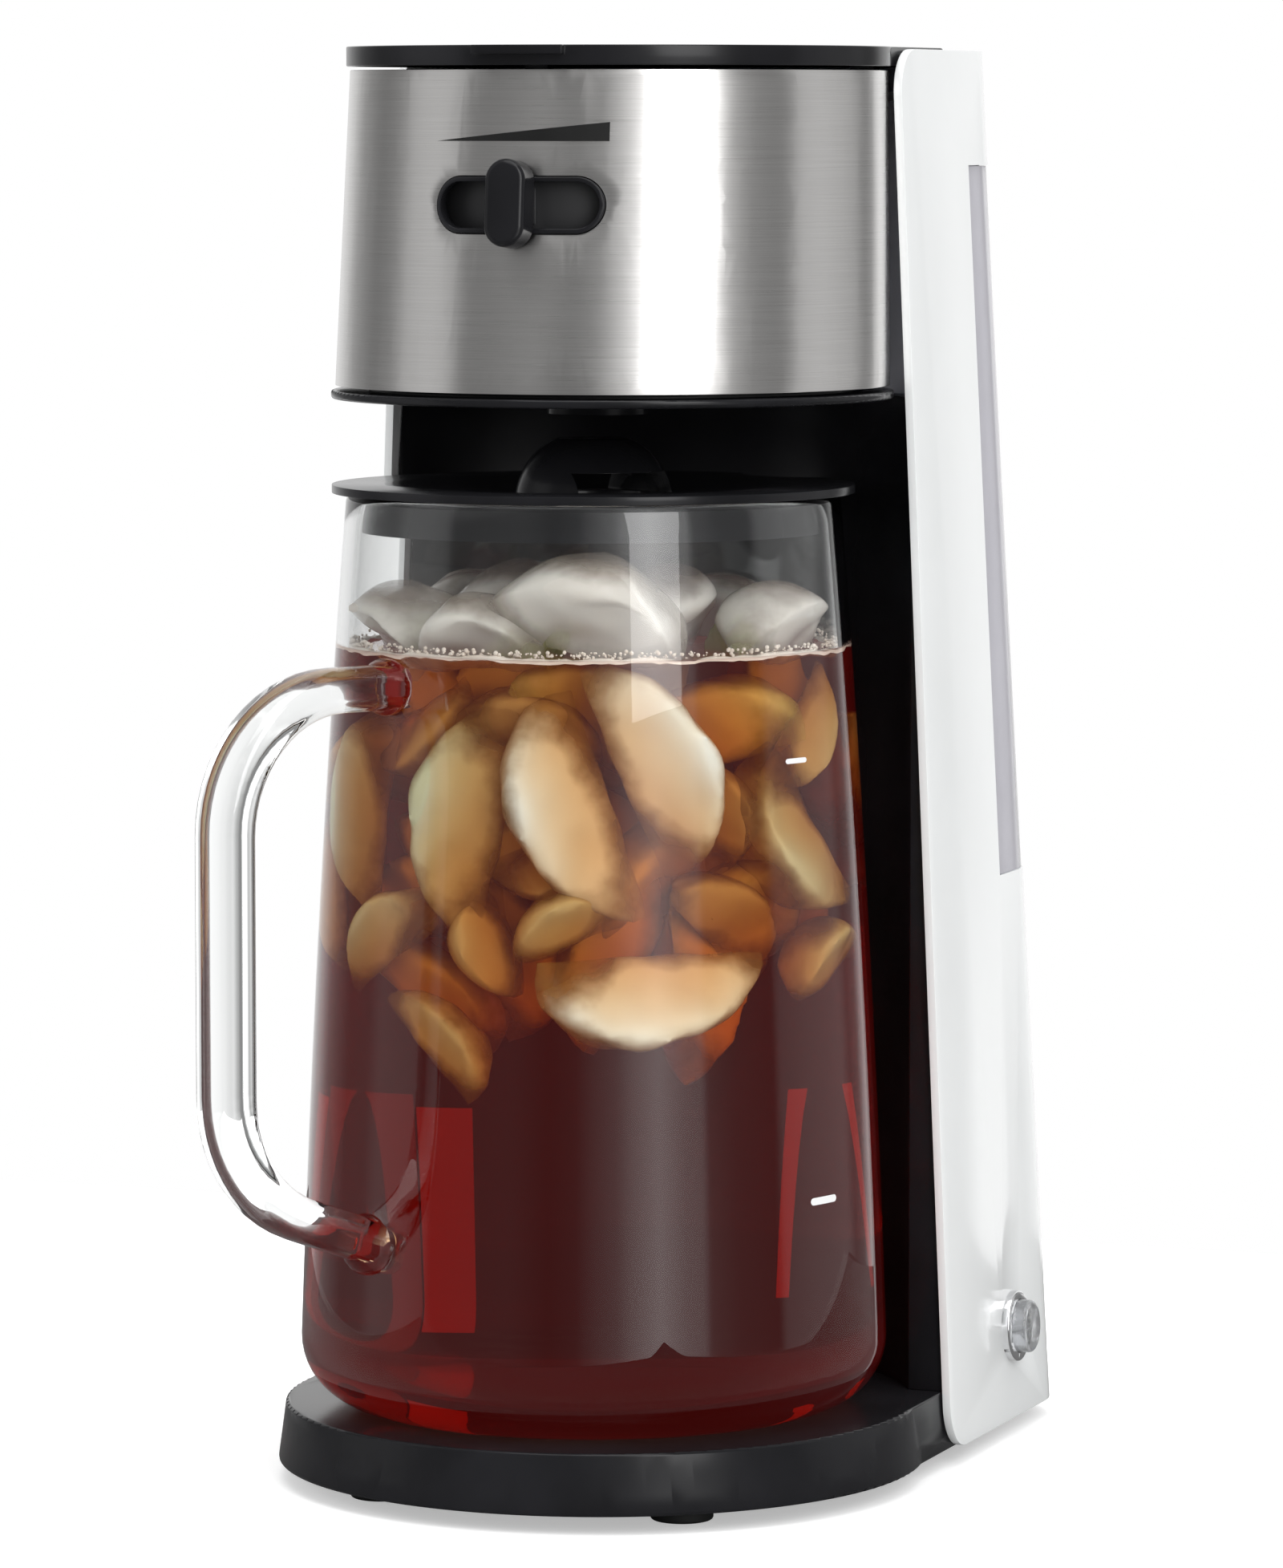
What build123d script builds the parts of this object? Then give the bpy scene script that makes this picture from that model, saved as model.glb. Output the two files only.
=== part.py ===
from build123d import *
import os
from math import asin, atan, cos, degrees, radians, sin, sqrt

# Iced tea maker: a tall column with a water tank, a brewing head and a glass jug on a round base.
# Millimetres.  X runs to the machine's right, Y to its back, Z up.
# Everything is drawn about the base disc's axis and moved once, at the end, to the export origin.

# ---------------------------------------------------------------- clearances
seat_gap = 0.3            # between pieces that are put together and curved
running_gap = 0.05        # radial, between a turning piece and what it turns on
slide_gap = 0.2           # round a piece that slides in an opening

# ---------------------------------------------------------------- column shell
shell_top_drop = 0.5      # the shell's top lies this far under the lid's top
shell_side_gap = 3.5      # from the jug's bay out to the shell's sides, at the floor
side_lean = 0.039         # the sides come in by this much for each millimetre of height
shell_front_y = 32.7      # front edge of the side panels, at the floor
front_lean = 0.012
shell_back_room = 36.5    # behind the heater's axis, at the floor
back_lean = 0.0575
shell_corner_radius = 20.0
shell_wall = 2.0
roof_wall = 2.0
panel_corner_radius = 11.0

# ---------------------------------------------------------------- base
foot_radius = 7.3
foot_height = 6.4
foot_round = 0.8
foot_x = 37.4
foot_front_y = -45.8
foot_back_y = 98.0
foot_stem_radius = 2.4
base_bottom_z = 4.2
base_height = 14.3
base_inset = 0.3          # in from the shell's sides, at the bottom
base_draft = 1.9          # how much narrower the disc is at its top
base_wall = 2.5
base_top_wall = 3.0
base_edge_round = 0.8
cover_thickness = 2.0
screw_radius = 1.5
screw_head_radius = 2.8
screw_head_height = 1.6
screw_length = 8.0
screw_boss_radius = 3.6
screw_front_inset = 19.8   # in from the edge of the base's top
screw_front_y = -18.0
screw_back_inset = 27.0    # in from the shell's sides
screw_back_y = 88.0

# ---------------------------------------------------------------- column front
jug_bay_gap = 3.9         # between the jug's foot and the concave front
niche_wall = 2.4
niche_front_gap = 0.7     # behind the shell's front edges

# ---------------------------------------------------------------- head
jug_clearance = 9.0       # above the jug lid's dome
shelf_thickness = 2.0
shelf_proud = 1.0         # beyond the band
shelf_back_gap = 1.5      # behind the housing
shelf_round = 0.7
band_lift = 1.1           # above the shelf
band_height = 73.5
band_bottom_inset = 11.8  # in from the shell's sides at the floor
band_draft = 2.0          # how much narrower the band is at its top
band_bottom_y = 7.5       # the head is a leaning cone, so its axis moves back with height
band_top_y = 12.0
band_back_y = 36.0
band_sheet = 0.8
housing_gap = 0.2
housing_wall = 2.2
housing_floor = 2.0
housing_foot_wall = 2.0
housing_foot_inset = 8.0
housing_back_gap = 1.6    # behind the basket's flange
housing_back_wall = 2.0
housing_low_y = 24.0      # behind this the cup stops under the deck, so that the shower arm can swing

# ---------------------------------------------------------------- strength selector
slot_rise = 42.8          # above the band's lower edge
slot_width = 41.0
slot_height = 12.8
bezel_rim = 1.1
bezel_proud = 0.5
bezel_depth = 3.2
lever_swing = 14.0        # degrees each way from the middle
knob_width = 9.7
knob_height = 20.0
knob_depth = 6.8
knob_stand_off = 1.15     # between the band and the knob's back
knob_round = 1.6
neck_width = 6.0
neck_height = 8.0
shutter_gap = 0.4         # behind the housing's wall, where they are closest
shutter_thickness = 1.5
shutter_height = 15.0
shutter_half_angle = 37.0
arm_width = 8.0
arm_thickness = 1.8
flow_disc_rim = 3.8        # beyond the basket's outlet
flow_disc_thickness = 2.2
port_radius = 2.5
port_circle = 8.5
port_count = 3

# ---------------------------------------------------------------- brewing pieces
spout_wall = 1.8
spout_drop = 3.4          # below the shelf
spout_rim = 1.2           # round the flow disc
spout_flange = 2.0
spout_bottom_bore = 5.0
deck_drop = 7.0           # below the band's upper edge
deck_thickness = 2.0
deck_side_inset = 16.0    # in from the shell's sides at the floor
deck_step_gap = 1.0       # behind the band's rear edges
deck_back_gap = 0.7       # in front of the hinge's axis
basket_front_inset = 8.2  # in from the front of the band's upper edge
basket_draft = 3.0
basket_wall = 1.6
basket_lift = 1.5         # the basket's bottom above its outlet boss
basket_flange = 3.4
basket_outlet_wall = 1.0
filter_wall = 0.8
filter_rim_drop = 4.0

# ---------------------------------------------------------------- top lid
lid_lift = 0.9            # above the band
lid_height = 4.6
lid_proud = 0.9           # beyond the band's upper edge
lid_neck_y = 27.0         # behind this the lid runs between the side panels
lid_side_gap = 0.5
lid_wall = 2.0
lid_rim = 2.2
tab_half_angle = 9.7
tab_reach = 2.5
tab_thickness = 2.1
hinge_back_gap = 19.0     # behind the housing
hinge_pin_radius = 1.2
hinge_pin_inset = 3.0     # in from the deck's sides
hinge_lug_inset = 19.0
hinge_lug_width = 6.0
hinge_lug_radius = 2.0
hinge_notch_reach = 3.6

# ---------------------------------------------------------------- water circuit
tank_inset = 4.0          # tank outside, in from the shell's outside
tank_wall = 1.8
tank_lift = 17.0          # above the window's lower edge
tank_front_gap = 2.0      # behind the column front
tank_shoulder_gap = 2.0   # behind the housing, above the column front
mouth_side_inset = 15.0   # in from the deck's sides
mouth_back_gap = 3.4      # in front of the hinge's axis
mouth_depth = 10.6
tube_radius = 4.0
tube_bore = 3.0
hose_wall = 1.35
hose_bend = 12.0
riser_inset = 6.0         # in from the deck's side
riser_front_gap = 1.6     # from the column front to the hose on the riser
riser_drop = 26.0         # below the tank's bottom
riser_overlap = 8.0
outlet_inset = 28.0       # in from the shell's side at the floor
outlet_radius = 7.0
outlet_height = 8.0
outlet_nipple = 14.0
arm_reach = 42.0          # shower arm, from the riser towards the basket's middle
shower_width = 11.0
shower_height = 3.4
shower_socket = 1.4       # how far the riser reaches up into the arm
shower_channel = 5.0
shower_channel_low = 1.2
shower_channel_high = 2.6
nozzle_radius = 1.6

# ---------------------------------------------------------------- heater and electrics
heater_front_gap = 3.1    # behind the column front
heater_outlet_gap = 13.0  # between the heater's end and the tank outlet's axis
heater_depth = 22.0
heater_lift = 18.5        # above the base
heater_height = 30.0
heater_round = 3.0
water_bore_drop = 9.0     # below the heater's top
element_bore_lift = 9.0   # above its bottom
element_radius = 4.2
element_reach = 10.0
pin_radius = 1.2
pipe_reach = 10.0
bracket_x = 26.0
bracket_thickness = 3.0
bracket_foot = 12.0
thermostat_offset = 14.0  # from the heater's middle
thermostat_radius = 8.0
thermostat_height = 7.0
fuse_spacing = 30.0       # from the thermostat's axis to the fuse's middle
fuse_radius = 2.0
fuse_length = 20.0
clip_length = 12.0
clip_width = 7.0
clip_height = 6.0
board_inset = 23.0        # in from the shell's side at the floor
board_front_offset = 8.0  # in front of the heater's axis
board_width = 22.0
board_length = 32.0
board_lift = 11.5         # above the base
board_thickness = 1.6
post_radius = 2.2
relay_size = (10.0, 14.0, 12.0)
capacitor_radius = 3.5
capacitor_height = 10.0

# ---------------------------------------------------------------- power button
button_y = 81.7
button_lift = 8.3         # above the base's top
button_radius = 6.4
button_proud = 5.4
button_length = 9.0
button_round = 1.0
button_travel = 1.5
stem_radius = 2.5
collar_radius = 8.6
collar_sleeve_radius = 7.6
collar_proud = 2.0
collar_depth = 4.0
switch_size = (12.0, 14.0, 15.3)

# ---------------------------------------------------------------- level window
window_bottom_z = 137.0
window_top_drop = 28.0     # under the lid's top
window_front_y = 88.7      # front edge, carried down to the floor
window_lean = 0.0375       # the front edge comes forward by this much for each millimetre of height
window_end_angle = 62.0    # rear edge, round the rear corner from the side panel
window_recess = 0.4
window_thickness = 2.4
window_flange_reach = 4.0
window_flange = 1.2

# ---------------------------------------------------------------- cord inlet
inlet_x = -25.0
inlet_lift = 15.5         # above the base's top
inlet_radius = 6.0
inlet_bore = 3.6
inlet_flange_radius = 8.5
inlet_flange = 1.8
inlet_depth = 5.0

# ---------------------------------------------------------------- jug
jug_y = -5.0              # the jug stands a little forward on the base
jug_bottom_gap = 0.3
jug_bottom_radius = 69.6
jug_middle_draft = 4.4     # how much narrower the jug is at its middle height
jug_middle_height = 103.7
jug_rim_draft = 11.8
jug_height = 214.3
jug_corner = 16.0
jug_wall = 3.0
jug_floor = 4.0
handle_azimuth = -28.5    # degrees from straight forward, towards the machine's left
handle_stand_off = 39.3      # from the jug's widest part to the middle of the grip
handle_top_drop = 42.3    # below the rim
handle_corner_lift = 59.2 # above the jug's bottom
handle_foot_lift = 41.6
handle_root_inset = 8.2   # in from the jug's middle radius
handle_foot_inset = 4.2
handle_thickness = 10.3
handle_width = 14.4
handle_edge = 3.4
handle_bend = 31.5
spout_lip_height = 29.1
spout_lip_slant = 7.0
spout_lip_inset = 10.8    # in from the rim
spout_lip_low_radius = 18.6
spout_lip_radius = 19.4

# ---------------------------------------------------------------- jug lid
cap_proud = 3.4           # beyond the rim
cap_lift = 2.2            # above the rim
cap_thickness = 1.9         # its underside is seat_gap above the jug's rim
cap_dish_inset = 17.2
cap_dish_end = 22.0
cap_dish_depth = 2.1
cap_hole_radius = 12.0
cap_skirt_gap = 0.7
cap_skirt_wall = 1.6
cap_skirt_depth = 9.0
dome_base_radius = 18.4
dome_top_radius = 8.6
dome_rise = 10.6          # above the lid's top
dome_wall = 2.0
dome_window_half = 14.2
dome_window_rise = 3.1
notch_reach = 24.0        # beyond the middle of the pouring lip
notch_radius = 18.5
strainer_slot = 1.8
strainer_height = 4.5
strainer_pitch = 4.0      # degrees
strainer_count = 11

# ---------------------------------------------------------------- derived
base_top_z = base_bottom_z + base_height
cover_top_z = foot_height + cover_thickness

jug_bottom_z = base_top_z + jug_bottom_gap
jug_middle_z = jug_bottom_z + jug_middle_height
jug_rim_z = jug_bottom_z + jug_height
jug_middle_radius = jug_bottom_radius - jug_middle_draft
jug_rim_radius = jug_bottom_radius - jug_rim_draft
handle_reach = jug_bottom_radius + handle_stand_off
handle_root = jug_middle_radius - handle_root_inset
handle_foot_root = jug_middle_radius - handle_foot_inset
handle_top_z = jug_rim_z - handle_top_drop
handle_corner_z = jug_bottom_z + handle_corner_lift
handle_foot_z = jug_bottom_z + handle_foot_lift
spout_lip_reach = jug_rim_radius - spout_lip_inset
spout_lip_low_reach = spout_lip_reach - spout_lip_slant
spout_lip_low_z = jug_rim_z - spout_lip_height
cap_radius = jug_rim_radius + cap_proud
cap_top_z = jug_rim_z + cap_lift
cap_dish_start = cap_radius - cap_dish_inset
dome_top_z = cap_top_z + dome_rise
dome_window_z = cap_top_z + dome_window_rise
notch_centre = spout_lip_reach + notch_reach

niche_radius = jug_bottom_radius + jug_bay_gap
niche_front_y = shell_front_y + niche_front_gap
heater_y = niche_radius + niche_wall + heater_front_gap + heater_depth / 2
shell_back_y = heater_y + shell_back_room
shell_half_width = niche_radius + shell_side_gap
base_bottom_radius = shell_half_width - base_inset
base_top_radius = base_bottom_radius - base_draft
screw_front_x = base_top_radius - screw_front_inset
screw_back_x = shell_half_width - screw_back_inset

shelf_bottom_z = dome_top_z + jug_clearance
shelf_top_z = shelf_bottom_z + shelf_thickness
band_bottom_z = shelf_top_z + band_lift
band_top_z = band_bottom_z + band_height
band_bottom_radius = shell_half_width - band_bottom_inset
band_top_radius = band_bottom_radius - band_draft
shelf_radius = band_bottom_radius + shelf_proud
slot_z = band_bottom_z + slot_rise
basket_top_radius = band_top_radius - band_top_y - basket_front_inset
housing_back_y = basket_top_radius + basket_flange + housing_back_gap
shelf_back_y = housing_back_y + shelf_back_gap
lid_bottom_z = band_top_z + lid_lift
lid_radius = band_top_radius + lid_proud
lid_y = band_top_y
total_height = lid_bottom_z + lid_height
shell_top_z = total_height - shell_top_drop
panel_tilt = degrees(atan(side_lean))

hinge_y = housing_back_y + hinge_back_gap
hinge_z = (lid_bottom_z + total_height) / 2
hinge_radius = (total_height - lid_bottom_z) / 2
roof_front_y = hinge_y + hinge_radius + lid_side_gap
deck_bottom_z = band_top_z - deck_drop
deck_top_z = deck_bottom_z + deck_thickness
deck_half_width = shell_half_width - deck_side_inset
deck_step_y = band_back_y + deck_step_gap
deck_back_y = hinge_y - deck_back_gap
hinge_pin_half_length = deck_half_width - hinge_pin_inset
hinge_lug_x = deck_half_width - hinge_lug_inset

housing_floor_top = band_bottom_z + housing_floor
spout_top_bore = port_circle + port_radius
spout_radius = spout_top_bore + spout_wall
basket_outlet_radius = spout_top_bore + basket_outlet_wall
flow_disc_radius = basket_outlet_radius + flow_disc_rim
spout_flange_radius = flow_disc_radius + spout_rim
disc_bottom_z = housing_floor_top + spout_flange + slide_gap
disc_top_z = disc_bottom_z + flow_disc_thickness
basket_bottom_radius = basket_top_radius - basket_draft
basket_outlet_z = disc_top_z + seat_gap
basket_bottom_z = basket_outlet_z + basket_lift
shower_bottom_z = deck_top_z + basket_wall + seat_gap

window_top_z = total_height - window_top_drop
tank_bottom_z = window_bottom_z + tank_lift
tank_top_z = deck_bottom_z - seat_gap
tank_front_y = niche_radius + niche_wall + tank_front_gap
tank_shoulder_y = housing_back_y + tank_shoulder_gap
mouth_half_width = deck_half_width - mouth_side_inset
mouth_back_y = hinge_y - mouth_back_gap
mouth_front_y = mouth_back_y - mouth_depth
riser_x = riser_inset - deck_half_width
hose_radius = tube_radius + running_gap + hose_wall
riser_reach = niche_radius + niche_wall + riser_front_gap + hose_radius
riser_y = sqrt(riser_reach**2 - riser_x**2)
riser_bottom_z = tank_bottom_z - riser_drop
outlet_x = shell_half_width - outlet_inset
outlet_y = heater_y
hose_bore = tube_radius + running_gap

heater_length = 2 * (outlet_x - heater_outlet_gap)
heater_bottom_z = base_top_z + heater_lift
water_bore_z = heater_bottom_z + heater_height - water_bore_drop
element_bore_z = heater_bottom_z + element_bore_lift
thermostat_x = -thermostat_offset
fuse_x = thermostat_x + fuse_spacing
board_x = board_inset - shell_half_width
board_y = heater_y - board_front_offset
board_z = base_top_z + board_lift
button_z = base_top_z + button_lift
inlet_z = base_top_z + inlet_lift
FAR = 400.0               # longer than the machine, for cutting tools


def share_up(z):
    """How far up the band a height lies, from 0 at its bottom to 1 at its top."""
    return (z - band_bottom_z) / (band_top_z - band_bottom_z)


def head_radius(z):
    return band_bottom_radius + share_up(z) * (band_top_radius - band_bottom_radius)


def head_y(z):
    return band_bottom_y + share_up(z) * (band_top_y - band_bottom_y)


def head_front(z):
    """How far in front of the basket's axis the band's outside lies."""
    return head_radius(z) - head_y(z)


def head_cone(inset, z_low, z_high):
    """The head's leaning cone between two heights, drawn in from the band's outside by inset."""
    low = Pos(0, head_y(z_low), z_low) * Circle(head_radius(z_low) - inset)
    high = Pos(0, head_y(z_high), z_high) * Circle(head_radius(z_high) - inset)
    return loft([low, high], ruled=True)


def column_section(z, inset, front_y):
    """Plan of the column at one height: two sides, two rear corners and a back."""
    half = shell_half_width - side_lean * z - inset
    back = shell_back_y - back_lean * z - inset
    radius = shell_corner_radius - inset
    right = Line((half, front_y), (half, back - radius))
    right_corner = CenterArc((half - radius, back - radius), radius, 0, 90)
    rear = Line((half - radius, back), (radius - half, back))
    left_corner = CenterArc((radius - half, back - radius), radius, 90, 90)
    left = Line((-half, back - radius), (-half, front_y))
    front = Line((-half, front_y), (half, front_y))
    return Pos(0, 0, z) * make_face(right + right_corner + rear + left_corner + left + front)


def column_body(z_low, z_high, inset, front_y):
    """The column's tapered body between two heights, drawn in by inset."""
    return loft([column_section(z_low, inset, front_y), column_section(z_high, inset, front_y)], ruled=True)


def block(x_low, x_high, y_low, y_high, z_low, z_high):
    """A box between two corners."""
    size = Box(x_high - x_low, y_high - y_low, z_high - z_low)
    return Pos((x_low + x_high) / 2, (y_low + y_high) / 2, (z_low + z_high) / 2) * size


def rod(x, y, z_low, z_high, radius):
    """An upright cylinder."""
    return Pos(x, y, (z_low + z_high) / 2) * Cylinder(radius, z_high - z_low)


def rod_along_x(x_low, x_high, y, z, radius):
    """A cylinder that lies along X."""
    return Pos((x_low + x_high) / 2, y, z) * Rot(0, 90, 0) * Cylinder(radius, x_high - x_low)


def behind(y):
    """Everything behind a plane across the machine."""
    return block(-FAR, FAR, y, FAR, -FAR, FAR)


def ahead(y):
    """Everything in front of a plane across the machine."""
    return block(-FAR, FAR, -FAR, y, -FAR, FAR)


def button_frame(reach):
    """A place on the power button's axis, reach outside the side panel, with Z along the axis."""
    surface_x = shell_half_width - side_lean * button_z
    return Pos(surface_x, button_y, button_z) * Rot(0, 90 - panel_tilt, 0) * Pos(0, 0, reach)


def inlet_frame(reach):
    """A place on the cord inlet's axis, reach outside the back, with Z along the axis."""
    surface_y = shell_back_y - back_lean * inlet_z
    return Pos(inlet_x, surface_y, inlet_z) * Rot(-90 + degrees(atan(back_lean)), 0, 0) * Pos(0, 0, reach)


def window_prism(grow):
    """A leaning prism through the right side panel and its rear corner, larger than the window by grow."""
    inner, outer = shell_corner_radius / 2, shell_corner_radius * 2
    end = radians(window_end_angle) + grow / shell_corner_radius
    sections = []
    for z in (window_bottom_z - grow, window_top_z + grow):
        centre_x = shell_half_width - side_lean * z - shell_corner_radius
        centre_y = shell_back_y - back_lean * z - shell_corner_radius
        front_y = window_front_y - window_lean * z - grow
        corners = (
            (centre_x + inner, front_y),
            (centre_x + outer, front_y),
            (centre_x + outer, centre_y + outer),
            (centre_x + outer * cos(end), centre_y + outer * sin(end)),
            (centre_x + inner * cos(end), centre_y + inner * sin(end)),
        )
        sections.append(Pos(0, 0, z) * make_face(Polyline(*corners, close=True)))
    return loft(sections, ruled=True)


# ---------------------------------------------------------------- base group
def base():
    """Round base with a skirt, running back under the column, with screw bosses and board posts."""
    height = base_top_z - base_bottom_z
    disc = Pos(0, 0, base_bottom_z) * Cone(
        base_bottom_radius, base_top_radius, height, align=(Align.CENTER, Align.CENTER, Align.MIN)
    )
    rear = column_body(base_bottom_z, base_top_z, shell_wall + seat_gap, 0)
    solid = disc + rear
    round_edges = solid.edges().filter_by(GeomType.CIRCLE).filter_by(lambda e: e.center().Y < 0)
    solid = fillet(round_edges, base_edge_round)
    inner_disc = Pos(0, 0, base_bottom_z) * Cone(
        base_bottom_radius - base_wall,
        base_top_radius - base_wall,
        height - base_top_wall,
        align=(Align.CENTER, Align.CENTER, Align.MIN),
    )
    ceiling_z = base_top_z - base_top_wall
    inner_rear = column_body(base_bottom_z, ceiling_z, shell_wall + seat_gap + base_wall, 0)
    solid = solid - inner_disc - inner_rear
    for x, y in screw_spots():
        boss = rod(x, y, cover_top_z, ceiling_z, screw_boss_radius)
        bore = rod(x, y, cover_top_z, cover_top_z + screw_length - cover_thickness, screw_radius + running_gap)
        solid = solid + boss - bore
    for side_x in (-1, 1):
        for side_y in (-1, 1):
            x = board_x + side_x * (board_width / 2 - post_radius)
            y = board_y + side_y * (board_length / 2 - post_radius)
            solid = solid + rod(x, y, base_top_z, board_z, post_radius)
    return solid


def foot_spots():
    return [(side * foot_x, y) for side in (-1, 1) for y in (foot_front_y, foot_back_y)]


def screw_spots():
    front = [(side * screw_front_x, screw_front_y) for side in (-1, 1)]
    return front + [(side * screw_back_x, screw_back_y) for side in (-1, 1)]


def base_cover():
    """Plate that closes the base from below, with holes for the feet and the screws."""
    inset = base_wall + seat_gap
    plate = rod(0, 0, foot_height, cover_top_z, base_top_radius - inset)
    plate = plate + column_body(foot_height, cover_top_z, shell_wall + seat_gap + inset, 0)
    for x, y in foot_spots():
        plate = plate - rod(x, y, foot_height, cover_top_z, foot_stem_radius + running_gap)
    for x, y in screw_spots():
        plate = plate - rod(x, y, foot_height, cover_top_z, screw_radius + running_gap)
    return plate


def rubber_feet():
    """Four pads, each with a stem pushed into the bottom cover."""
    feet = []
    for x, y in foot_spots():
        pad = fillet(rod(x, y, 0, foot_height, foot_radius).edges(), foot_round)
        feet.append(pad + rod(x, y, foot_height - foot_round, cover_top_z + 1, foot_stem_radius))
    return Compound(feet)


def base_screws():
    """Four pan-head screws that hold the bottom cover to the base."""
    screws = []
    for x, y in screw_spots():
        head = rod(x, y, foot_height - screw_head_height, foot_height, screw_head_radius)
        head = head - rod(x, y, 0, foot_height - screw_head_height / 2, screw_head_radius / 3)
        screws.append(head + rod(x, y, foot_height, foot_height + screw_length - 1, screw_radius))
    return Compound(screws)


# ---------------------------------------------------------------- column
def outer_shell():
    """White shell: two side panels, a back and a roof behind the lid, open in front."""
    low, high = base_bottom_z, shell_top_z
    profile = make_face(
        Polyline(
            (shell_front_y - front_lean * low, low),
            (FAR, low),
            (FAR, high),
            (shell_front_y - front_lean * high, high),
            close=True,
        )
    )
    profile = fillet(profile.vertices().sort_by(Axis.X)[:2], panel_corner_radius)
    outside = column_body(low - 1, high + 1, 0, 0) & extrude(Plane.YZ * profile, FAR, both=True)
    cavity = column_body(low - 1, high + 1, shell_wall, -FAR)
    roof = block(-FAR, FAR, roof_front_y, FAR, high - roof_wall, FAR)
    shell = outside - (cavity - roof)
    shell = shell - window_prism(0)
    shell = shell - button_frame(0) * Cylinder(collar_sleeve_radius + slide_gap, 4 * shell_wall)
    shell = shell - inlet_frame(0) * Cylinder(inlet_radius + running_gap, 4 * shell_wall)
    return shell


def column_front():
    """Black wall between the side panels, hollowed round the jug."""
    low, high = base_top_z, shelf_bottom_z
    ring = rod(0, 0, low, high, niche_radius + niche_wall)
    strips = block(-FAR, FAR, niche_front_y, niche_front_y + niche_wall, low, high)
    wall = (ring + strips) & column_body(low, high, shell_wall + seat_gap, niche_front_y)
    return wall - rod(0, 0, low, high, niche_radius)


def level_window():
    """Clear strip let into the right side and rear corner, with a flange behind the shell's wall."""
    low, high = window_bottom_z - shell_wall - window_flange_reach, window_top_z + window_flange_reach
    skin = column_body(low, high, window_recess, 0) - column_body(low, high, window_thickness, 0)
    flange_outer = shell_wall + running_gap
    backing = column_body(low, high, flange_outer, 0) - column_body(low, high, flange_outer + window_flange, 0)
    return (window_prism(-slide_gap) & skin) + (window_prism(window_flange_reach) & backing)


def cord_gland():
    """Round bush in the back for the mains lead, which is not part of the model."""
    sleeve = inlet_frame(0) * Cylinder(inlet_radius, inlet_depth + inlet_flange, align=(Align.CENTER,) * 3)
    flange = inlet_frame(0) * Cylinder(inlet_flange_radius, 2 * inlet_flange)
    flange = flange - column_body(base_bottom_z, shell_top_z, 0, 0)
    bore = inlet_frame(0) * Cylinder(inlet_bore, 4 * inlet_depth)
    return sleeve + flange - bore


# ---------------------------------------------------------------- head
def shelf():
    """Thin disc under the head that stands out a little below the band."""
    disc = Pos(0, band_bottom_y, (shelf_bottom_z + shelf_top_z) / 2) * Cylinder(shelf_radius, shelf_thickness)
    disc = fillet(disc.edges().filter_by(GeomType.CIRCLE), shelf_round)
    disc = disc & ahead(shelf_back_y)
    return disc - rod(0, 0, shelf_bottom_z, shelf_top_z, spout_radius + seat_gap)


def slot_prism(grow):
    """The slot's obround, pushed through the front of the head."""
    outline = SlotOverall(slot_width + 2 * grow, slot_height + 2 * grow)
    return Pos(0, 0, slot_z) * extrude(Plane.XZ * outline, FAR)


def band():
    """Brushed sheet wrapped round the head, with the selector's slot."""
    outside = head_cone(0, band_bottom_z, band_top_z)
    inside = head_cone(band_sheet, band_bottom_z, band_top_z)
    return (outside - inside - slot_prism(slide_gap)) & ahead(band_back_y)


def head_housing():
    """D-shaped cup behind the band that holds the brewing pieces."""
    skin = band_sheet + housing_gap
    top = band_top_z - skin
    outside = head_cone(skin, band_bottom_z, top) & ahead(housing_back_y)
    inside = head_cone(skin + housing_wall, housing_floor_top, top + 1)
    inside = inside & ahead(housing_back_y - housing_back_wall)
    cup = outside - inside - slot_prism(slide_gap)
    cup = cup - (behind(housing_low_y) & block(-FAR, FAR, 0, FAR, deck_bottom_z, FAR))
    foot_out = head_cone(housing_foot_inset, shelf_top_z, band_bottom_z)
    foot_in = head_cone(housing_foot_inset + housing_foot_wall, shelf_top_z, band_bottom_z)
    cup = cup + ((foot_out - foot_in) & ahead(housing_back_y))
    return cup - rod(0, 0, band_bottom_z, housing_floor_top, spout_radius + seat_gap)


def slot_bezel():
    """Obround frame in the band's slot."""
    low = slot_z - slot_height
    high = slot_z + slot_height
    ring = head_cone(-bezel_proud, low, high) - head_cone(bezel_depth, low, high)
    return (ring & slot_prism(0)) - slot_prism(-bezel_rim)


def knob_frame(reach):
    """A place in front of the slot, reach outside the band, with Z pointing forward and out."""
    lean = degrees(atan((head_front(band_bottom_z) - head_front(band_top_z)) / (band_top_z - band_bottom_z)))
    return Pos(0, -head_front(slot_z), slot_z) * Rot(90 - lean, 0, 0) * Pos(0, 0, reach)


def strength_knob():
    """Upright obround knob that slides along the slot."""
    body = extrude(knob_frame(knob_stand_off) * SlotOverall(knob_height, knob_width, rotation=90), knob_depth)
    front = body.faces().sort_by(Axis.Y)[0]
    return fillet(front.edges(), knob_round)


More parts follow.
